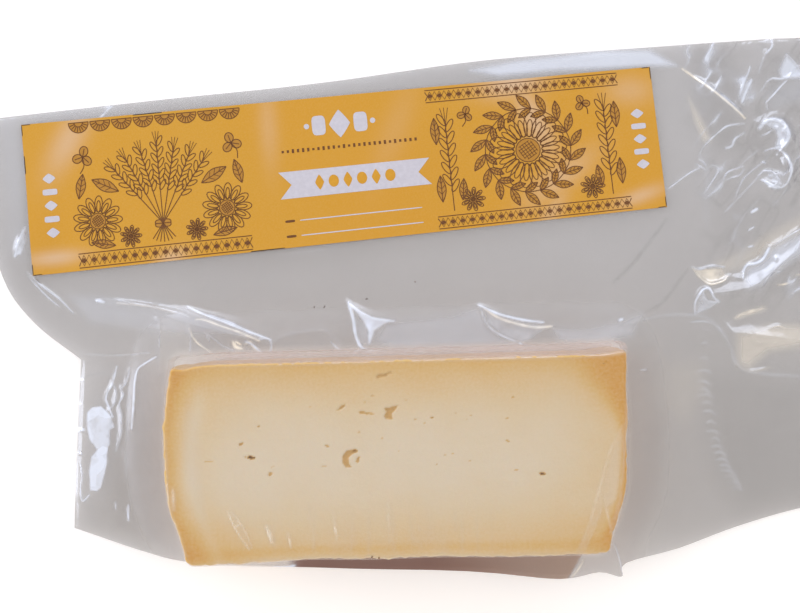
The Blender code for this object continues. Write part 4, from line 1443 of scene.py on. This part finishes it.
def rotated(at, x, y, turn):
    # the point x along and y across from a place, after a turn in degrees
    c, s = math.cos(math.radians(turn)), math.sin(math.radians(turn))
    return at[0] + x * c - y * s, at[1] + x * s + y * c


def printGrown(ink, tree, values, at, turn=0.0):
    mesh = grow(tree, values)
    points = [rotated(at, vertex.co.x, vertex.co.y, turn) for vertex in mesh.vertices]
    printShape(ink, points, [tuple(face.vertices) for face in mesh.polygons])
    bpy.data.meshes.remove(mesh)


def printLine(path, ink="brown", width=lineWidth):
    # a flat line along a path, cut short enough to follow the paper
    dense = []
    for (ax, ay), (bx, by) in zip(path, path[1:]):
        steps = max(1, int(math.hypot(bx - ax, by - ay) / 3.0))
        dense += [(ax + (bx - ax) * i / steps, ay + (by - ay) * i / steps) for i in range(steps)]
    dense.append(path[-1])
    points, faces = [], []
    for i, (x, y) in enumerate(dense):
        before, after = dense[max(i - 1, 0)], dense[min(i + 1, len(dense) - 1)]
        length = math.hypot(after[0] - before[0], after[1] - before[1]) or 1.0
        nx, ny = -(after[1] - before[1]) / length, (after[0] - before[0]) / length
        points += [(x - nx * width / 2, y - ny * width / 2), (x + nx * width / 2, y + ny * width / 2)]
        if i:
            faces.append((2 * i - 2, 2 * i, 2 * i + 1, 2 * i - 1))
    printShape(ink, points, faces)


def printPatch(outlinePoints, ink):
    # a filled convex shape, as rings towards its middle
    count = len(outlinePoints)
    cx, cy = sum(p[0] for p in outlinePoints) / count, sum(p[1] for p in outlinePoints) / count
    rings = 4
    points, faces = [], []
    for ring in range(rings):
        share = 1 - ring / rings
        points += [(cx + (x - cx) * share, cy + (y - cy) * share) for x, y in outlinePoints]
        if ring:
            low, high = (ring - 1) * count, ring * count
            faces += [(low + i, low + (i + 1) % count, high + (i + 1) % count, high + i) for i in range(count)]
    points.append((cx, cy))
    last = (rings - 1) * count
    faces += [(last + i, last + (i + 1) % count, len(points) - 1) for i in range(count)]
    printShape(ink, points, faces)


def ellipse(at, width, height, turn=0.0, count=28, power=2.0):
    # round at power 2, a lozenge at 1 and nearly a box at a high one
    made = []
    for i in range(count):
        angle = 2 * math.pi * i / count
        c, s = math.cos(angle), math.sin(angle)
        x = width / 2 * math.copysign(abs(c) ** (2 / power), c)
        y = height / 2 * math.copysign(abs(s) ** (2 / power), s)
        made.append(rotated(at, x, y, turn))
    return made


def printRing(at, width, height, turn=0.0, power=2.0):
    loop = ellipse(at, width, height, turn, 28, power)
    printLine(loop + loop[:1])


def daisy(at, size, petals=13):
    printPatch(ellipse(at, 0.58 * size, 0.58 * size), "tan")
    for petalLength, petalWidth in ((0.62, 0.30), (0.44, 0.14)):
        printGrown("brown", trees["petals"], {
            "Count": petals, "Inner Radius": 0.34 * size, "Petal Length": petalLength * size,
            "Petal Width": petalWidth * size, "Line": lineWidth}, at)
    printRing(at, 0.60 * size, 0.60 * size)
    for hatchTurn in (30, 120):
        printGrown("brown", trees["bars"], {"Count": 6, "Spacing": 0.075 * size, "Length": 0.44 * size,
                                            "Width": 0.26, "Power": 2.0, "Seed": 3,
                                            "Uneven": 0.1}, at, hatchTurn)


def clover(at, size, turn=0.0):
    for third in range(3):
        way = turn + 90 + 120 * third
        leafMiddle = rotated(at, 0.42 * size, 0, way)
        printPatch(ellipse(leafMiddle, 0.72 * size, 0.62 * size, way), "tan")
        printRing(leafMiddle, 0.74 * size, 0.64 * size, way)
        printLine([at, rotated(at, 0.62 * size, 0, way)])
    stem = [(0, 0), (0.22, -0.65), (0.05, -1.25)]
    printLine(rounded([rotated(at, size * x, size * y, turn) for x, y in stem]))


def grainEar(start, turn, count=13, spacing=2.3, stem=9.0, grain=5.4):
    printGrown("brown", trees["ears"], {
        "Count": count, "Spacing": spacing, "Grain Length": grain, "Grain Width": 0.36 * grain, "Lean": 0.55,
        "Line": lineWidth}, start, turn)
    tip = rotated(start, spacing * (count - 1), 0, turn)
    printLine([rotated(start, -stem, 0, turn), tip])
    # beards at the tip
    for spread in (-0.22, 0.0, 0.22):
        printLine([tip, rotated(tip, 1.3 * grain, 0, turn + math.degrees(spread))], "brown", 0.24)


def leaf(at, length, width, turn):
    # a pointed leaf with its midrib and veins, from its foot outwards
    def put(x, y):
        return rotated(at, x, y, turn)

    steps = 8
    low = [put(length * i / steps, -width / 2 * math.sin(math.pi * i / steps)) for i in range(steps + 1)]
    high = [put(length * i / steps, width / 2 * math.sin(math.pi * i / steps)) for i in range(steps, -1, -1)]
    printPatch(low + high[1:-1], "tan")
    printLine(low + high)
    printLine([put(0, 0), put(length, 0)])
    for share in (0.3, 0.5, 0.7):
        half = 0.42 * width * math.sin(math.pi * (share + 0.06))
        for side in (-1, 1):
            printLine([put(length * share, 0), put(length * (share + 0.14), side * half)], "brown", 0.24)


def fan(at, radius, turn=0.0):
    # half a disc with ribs, standing on its flat side
    ribs = 9

    def put(reach, share):
        return rotated(at, reach, 0, turn + 180 * share)

    printPatch([put(radius, i / 14) for i in range(15)], "tan")
    for share in (1.0, 0.42):
        printLine([put(radius * share, i / 14) for i in range(15)])
    for rib in range(1, ribs):
        printLine([put(0.46 * radius, rib / ribs), put(0.92 * radius, rib / ribs)])
    printLine([put(radius, 0), put(radius, 1)])


def lozengeBand(start, length, height, count):
    # two zigzags that cross, with a lozenge in each cell, between two rules
    pitch = length / count
    x, middle = start[0], start[1] + height / 2
    for side in (-1, 1):
        printLine([(x + pitch * i / 2, middle + side * (-1) ** i * height / 2) for i in range(2 * count + 1)])
        rule = middle + side * (height / 2 + 0.7)
        printLine([(x, rule), (x + length, rule)])
    for i in range(count):
        printPatch(ellipse((x + pitch * (i + 0.5), middle), 0.5 * pitch, 0.55 * height, 0, 16, 1.0), "brown")


layout = {
    "leftPanel": (19.0, 90.0),
    "rightPanel": (166.0, 245.0),
    "middle": 130.0,
    "ribbon": {"at": (134.0, 25.5), "width": 62.0, "height": 11.0, "notch": 5.0},
    "endMarks": (9.5, 251.5),
}


def printLeftPanel():
    # a sheaf of seven ears between flowers, over a band of lozenges and under a row of fans
    low, high = layout["leftPanel"]
    middle = (low + high) / 2
    knot = (middle, 15.5)
    lozengeBand((low, 1.8), high - low, 4.2, 17)
    for number in range(8):
        fan((low + (high - low) * (number + 0.5) / 8, 58.8), 4.1, 180)
    for turn in (52, 64, 77, 90, 103, 116, 128):
        grainEar(rotated(knot, 13.5, 0, turn), turn, 9 if turn == 90 else 8, 2.2, 13.5, 4.6)
        printLine([knot, rotated(knot, -7.5, 0, turn)])
    printPatch(ellipse(knot, 6.4, 3.0, 0, 24, 4.0), "tan")
    printRing(knot, 6.4, 3.0, 0, 4.0)
    printLine([(middle - 3.0, 15.5), (middle + 3.0, 15.5)])
    for side in (-1, 1):
        daisy((middle + side * 26.5, 19.0), 10.5, 13)
        clover((middle + side * 30.5, 45.0), 5.4, side * 16)
        daisy((middle + side * 13.5, 11.6), 4.6, 9)
        leaf((middle + side * 17.0, 30.0), 12.0, 4.6, 90 - side * 62)
        leaf((middle + side * 33.5, 28.5), 10.0, 3.8, 90 + side * 14)
        leaf((middle + side * 20.0, 8.6), 10.0, 3.4, 90 - side * 78)


def printMiddle():
    middle = layout["middle"]
    # white ornament above: lozenge, discs and bars
    printPatch(ellipse((middle, 48.6), 8.6, 11.4, 0, 36, 1.1), "white")
    for side in (-1, 1):
        printPatch(ellipse((middle + side * 8.6, 48.6), 5.6, 8.0, 0, 28, 4.0), "white")
        printPatch(ellipse((middle + side * 13.6, 48.6), 2.2, 2.2), "white")
    # a fine brown row of dashes and dots
    printGrown("brown", trees["bars"], {"Count": 27, "Spacing": 2.1, "Length": 1.7, "Width": 0.9, "Power": 40.0,
                                        "Uneven": 0.55, "Seed": 21}, (middle + 3, 39.2))
    # swallow-tailed ribbon, with plain marks in the paper's yellow
    ribbon = layout["ribbon"]
    (x, y), wide, high, notch = ribbon["at"], ribbon["width"] / 2, ribbon["height"] / 2, ribbon["notch"]
    points, faces, steps = [], [], 24
    for i in range(steps + 1):
        share = i / steps
        for level in (-1, 0, 1):
            inset = notch * (1 - abs(level))
            points.append((x - wide + inset + share * 2 * (wide - inset), y + level * high))
        if i:
            a = 3 * (i - 1)
            faces += [(a, a + 3, a + 4, a + 1), (a + 1, a + 4, a + 5, a + 2)]
    printShape("white", points, faces)
    for number in range(6):
        size = (4.2, 5.0, 0, 24, 2.0) if number % 2 else (3.6, 6.2, 0, 24, 1.2)
        printPatch(ellipse((x - 14.5 + 5.8 * number, y), *size), "yellow")
    # two blank rules
    for level in (10.8, 4.6):
        printPatch(ellipse((x + 1, level), 50.0, 0.45, 0, 40, 8.0), "white")
        printPatch(ellipse((x - 28, level), 4.0, 1.0, 0, 20, 4.0), "brown")


def printRightPanel():
    # a wreath of leaves round a daisy, between upright ears, with fans in the corners
    low, high = layout["rightPanel"]
    middle = ((low + high) / 2, 30.0)
    lozengeBand((low, 1.8), high - low, 3.6, 20)
    lozengeBand((low, 54.4), high - low, 3.6, 20)
    printRing(middle, 35.0, 35.0)
    for number in range(18):
        around = 20 * number
        foot = rotated(middle, 17.5, 0, around)
        leaf(foot, 8.2, 3.2, around + 52)
        leaf(foot, 6.4, 2.6, around + 132)
    daisy(middle, 16.5, 18)
    for side in (-1, 1):
        grainEar((middle[0] + side * 32.5, 16.0), 90, 12, 2.5, 8.0, 5.8)
        clover((middle[0] + side * 24.0, 47.5), 4.2, side * 20)
        daisy((middle[0] + side * 24.5, 12.0), 5.2, 9)
        leaf((middle[0] + side * 36.8, 12.0), 11.0, 3.6, 90)
        leaf((middle[0] + side * 28.6, 12.0), 9.0, 3.2, 90 + side * 8)
        leaf((middle[0] + side * 37.0, 36.0), 11.0, 3.6, 90)


def printEnds():
    for u, middle in ((layout["endMarks"][0], 27.0), (layout["endMarks"][1], 30.0)):
        for number in range(5):
            v = middle + (number - 2) * 5.4
            size = (6.0, 2.4, 0, 20, 5.0) if number % 2 else (5.2, 4.0, 0, 24, 1.2)
            printPatch(ellipse((u, v), *size), "white")
    # cut marks at the corners and short ones on the edges: place, width and height
    length = label["length"]
    for u, v, wide, high in (
            (0.2, 57.6, 0.3, 4), (2, 59.8, 3.6, 0.3), (length - 0.2, 57.4, 0.3, 5), (length - 2, 59.8, 3, 0.3),
            (0.2, 2.4, 0.3, 4), (2, 0.2, 3.6, 0.3), (length - 0.2, 2.4, 0.3, 4), (length - 2, 0.2, 3, 0.3),
            (0.2, 44, 0.35, 7), (52, 59.8, 12, 0.35), (96, 0.2, 14, 0.35)):
        printPatch(ellipse((u, v), wide, high, 0, 16, 8.0), "black")


def makePrint():
    printLeftPanel()
    printMiddle()
    printRightPanel()
    printEnds()
    pieces = []
    for name, ink in inks.items():
        material, tree, shader = newMaterial("ink_" + name, 0.4)
        wear = noiseAt(tree, 700, 3)
        light = tuple(min(255, channel + 16) for channel in ink["colour"])
        worn = blendColours(tree, remap(tree, wear, 0.4, 0.75, 0, 0.5), ink["colour"], light)
        tree.links.new(worn, shader.inputs["Base Color"])
        flat, faces = printed[name]
        u, v = np.array(flat).T
        x, y = onLabel(u / label["length"], v / label["width"])
        z = labelHeight(x, y) + label["thickness"] + ink["lift"]
        pieces.append(meshObject(ink["piece"], list(zip(x, y, z)), faces, material))
    return pieces


# Crumbs of rind, caught between the sheets and on the rim of the slice: pixel place and size of each
crumbs = {
    "onFlap": [(315, 307, 0.85), (325, 307, 0.85), (367, 299, 0.85), (415, 282, 0.85), (158, 489, 0.4)],
    "onRim": [(372, 557, 0.85), (379, 558, 0.85)],
    "seed": 9,
}


def makeCrumbs():
    material, tree, shader = newMaterial("crumb", 0.6)
    tree.links.new(colourRamp(tree, noiseAt(tree, 900, 2), [(0.3, (96, 66, 48)), (0.7, (140, 98, 60))]),
                   shader.inputs["Base Color"])
    rng = random.Random(crumbs["seed"])
    points, faces = [], []
    places = [(*spot, 2.0) for spot in crumbs["onFlap"]] + [(*spot, cheese["top"]) for spot in crumbs["onRim"]]
    for px, py, size, level in places:
        x, y = fromPhoto(px, py, level)
        if level < 10:
            a, b = toCheese(x, y)
            level = float(droop(fromCore(squared(a, b), b)[4]) + broadHeight(np.array([x]), np.array([y]))[0])
        turn, size = rng.uniform(0, 180), size * rng.uniform(0.7, 1.2)
        start, around, rings = len(points), 7, 4
        for ring in range(rings + 1):
            lift = math.cos(math.pi * ring / rings)
            for i in range(around if 0 < ring < rings else 1):
                angle = 2 * math.pi * i / around
                reach = math.sqrt(1 - lift ** 2) * rng.uniform(0.75, 1.1)
                along, beside = 0.8 * size * reach * math.cos(angle), 0.45 * size * reach * math.sin(angle)
                points.append((*rotated((x, y), along, beside, turn), level + 0.3 * size * lift))
        last = start + 1 + around * (rings - 1)
        for i in range(around):
            j = (i + 1) % around
            faces.append((start, start + 1 + i, start + 1 + j))
            for ring in range(rings - 2):
                low = start + 1 + ring * around
                faces.append((low + i, low + around + i, low + around + j, low + j))
            faces.append((last, last - around + j, last - around + i))
    return meshObject("crumbs", points, faces, material)


# Floor, light and camera

def makeFloor():
    material, tree, shader = newMaterial("paleFloor", 0.9)
    tree.links.new(colourRamp(tree, noiseAt(tree, 3, 2), [(0.3, (252, 252, 253)), (0.7, (254, 254, 255))]),
                   shader.inputs["Base Color"])
    shader.inputs["Emission Color"].default_value = linear((255, 255, 255))
    shader.inputs["Emission Strength"].default_value = 0.2
    reach, level = 3000, -0.3
    corners = [(-reach, -reach, level), (reach, -reach, level), (reach, reach, level), (-reach, reach, level)]
    floor = meshObject("floor", corners, [(0, 1, 2, 3)], material)


lights = {
    # name: place in millimetres, width and height in millimetres, watts, colour
    "backWindow": ((60, 1350, 520), (1400, 600), 6.0, (228, 236, 255)),
    "leftWindow": ((-1200, 60, 430), (700, 500), 4.0, (228, 236, 255)),
}


def makeLights():
    for name, (where, size, watts, colour) in lights.items():
        lamp = bpy.data.lights.new(name, "AREA")
        lamp.shape = "RECTANGLE"
        lamp.size, lamp.size_y = size[0] * mm, size[1] * mm
        lamp.energy = watts
        lamp.color = linear(colour)[:3]
        made = bpy.data.objects.new(name, lamp)
        made.location = [mm * c for c in where]
        aim = Vector((0, 0, 0)) - made.location
        made.rotation_euler = aim.to_track_quat("-Z", "Y").to_euler()
        bpy.context.scene.collection.objects.link(made)
    world = bpy.data.worlds.new("studio")
    bpy.context.scene.world = world
    world.use_nodes = True
    background = world.node_tree.nodes["Background"]
    background.inputs["Color"].default_value = linear((255, 250, 246))
    background.inputs["Strength"].default_value = 0.93


def makeCamera():
    camera = bpy.data.cameras.new("camera")
    camera.sensor_width = view["sensorWidth"]
    camera.lens = view["sensorWidth"] * view["focalPixels"] / view["imageSize"][0]
    camera.clip_end = 100
    bpy.context.scene.view_settings.view_transform = "Standard"
    made = bpy.data.objects.new("camera", camera)
    made.location = (view["place"][0] * mm, view["place"][1] * mm, view["height"] * mm)
    bpy.context.scene.collection.objects.link(made)
    bpy.context.scene.camera = made


def finishPiece(piece, slotName, *nodes):
    if nodes:
        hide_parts(*nodes)
    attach(piece, "root")


makeFloor()
makeLights()
makeCamera()
print("floor, lights and camera made")

cheeseSlice = makeCheese(cheeseMaterial())
finishPiece(cheeseSlice, "cheese", "cheese")
print("cheese made", len(cheeseSlice.data.polygons))

clear = filmMaterial()
for piece in makeFilm("film_upper", upperSection, pouch["halfGap"], pouch["spacing"], 4, clear):
    finishPiece(piece, "film", "pouch")
    print("film made", piece.name, len(piece.data.polygons))
for piece in makeFilm("film_lower", lowerSection, -pouch["halfGap"], pouch["spacing"] * 3, 1, clear):
    finishPiece(piece, "film", "pouch")
print("lower film made")

paper = makeLabel(paperMaterial())
finishPiece(paper, "label", "label")
for piece in makePrint():
    finishPiece(piece, "label")
print("label and its print made")
finishPiece(makeCrumbs(), "cheese")
print("crumbs made")
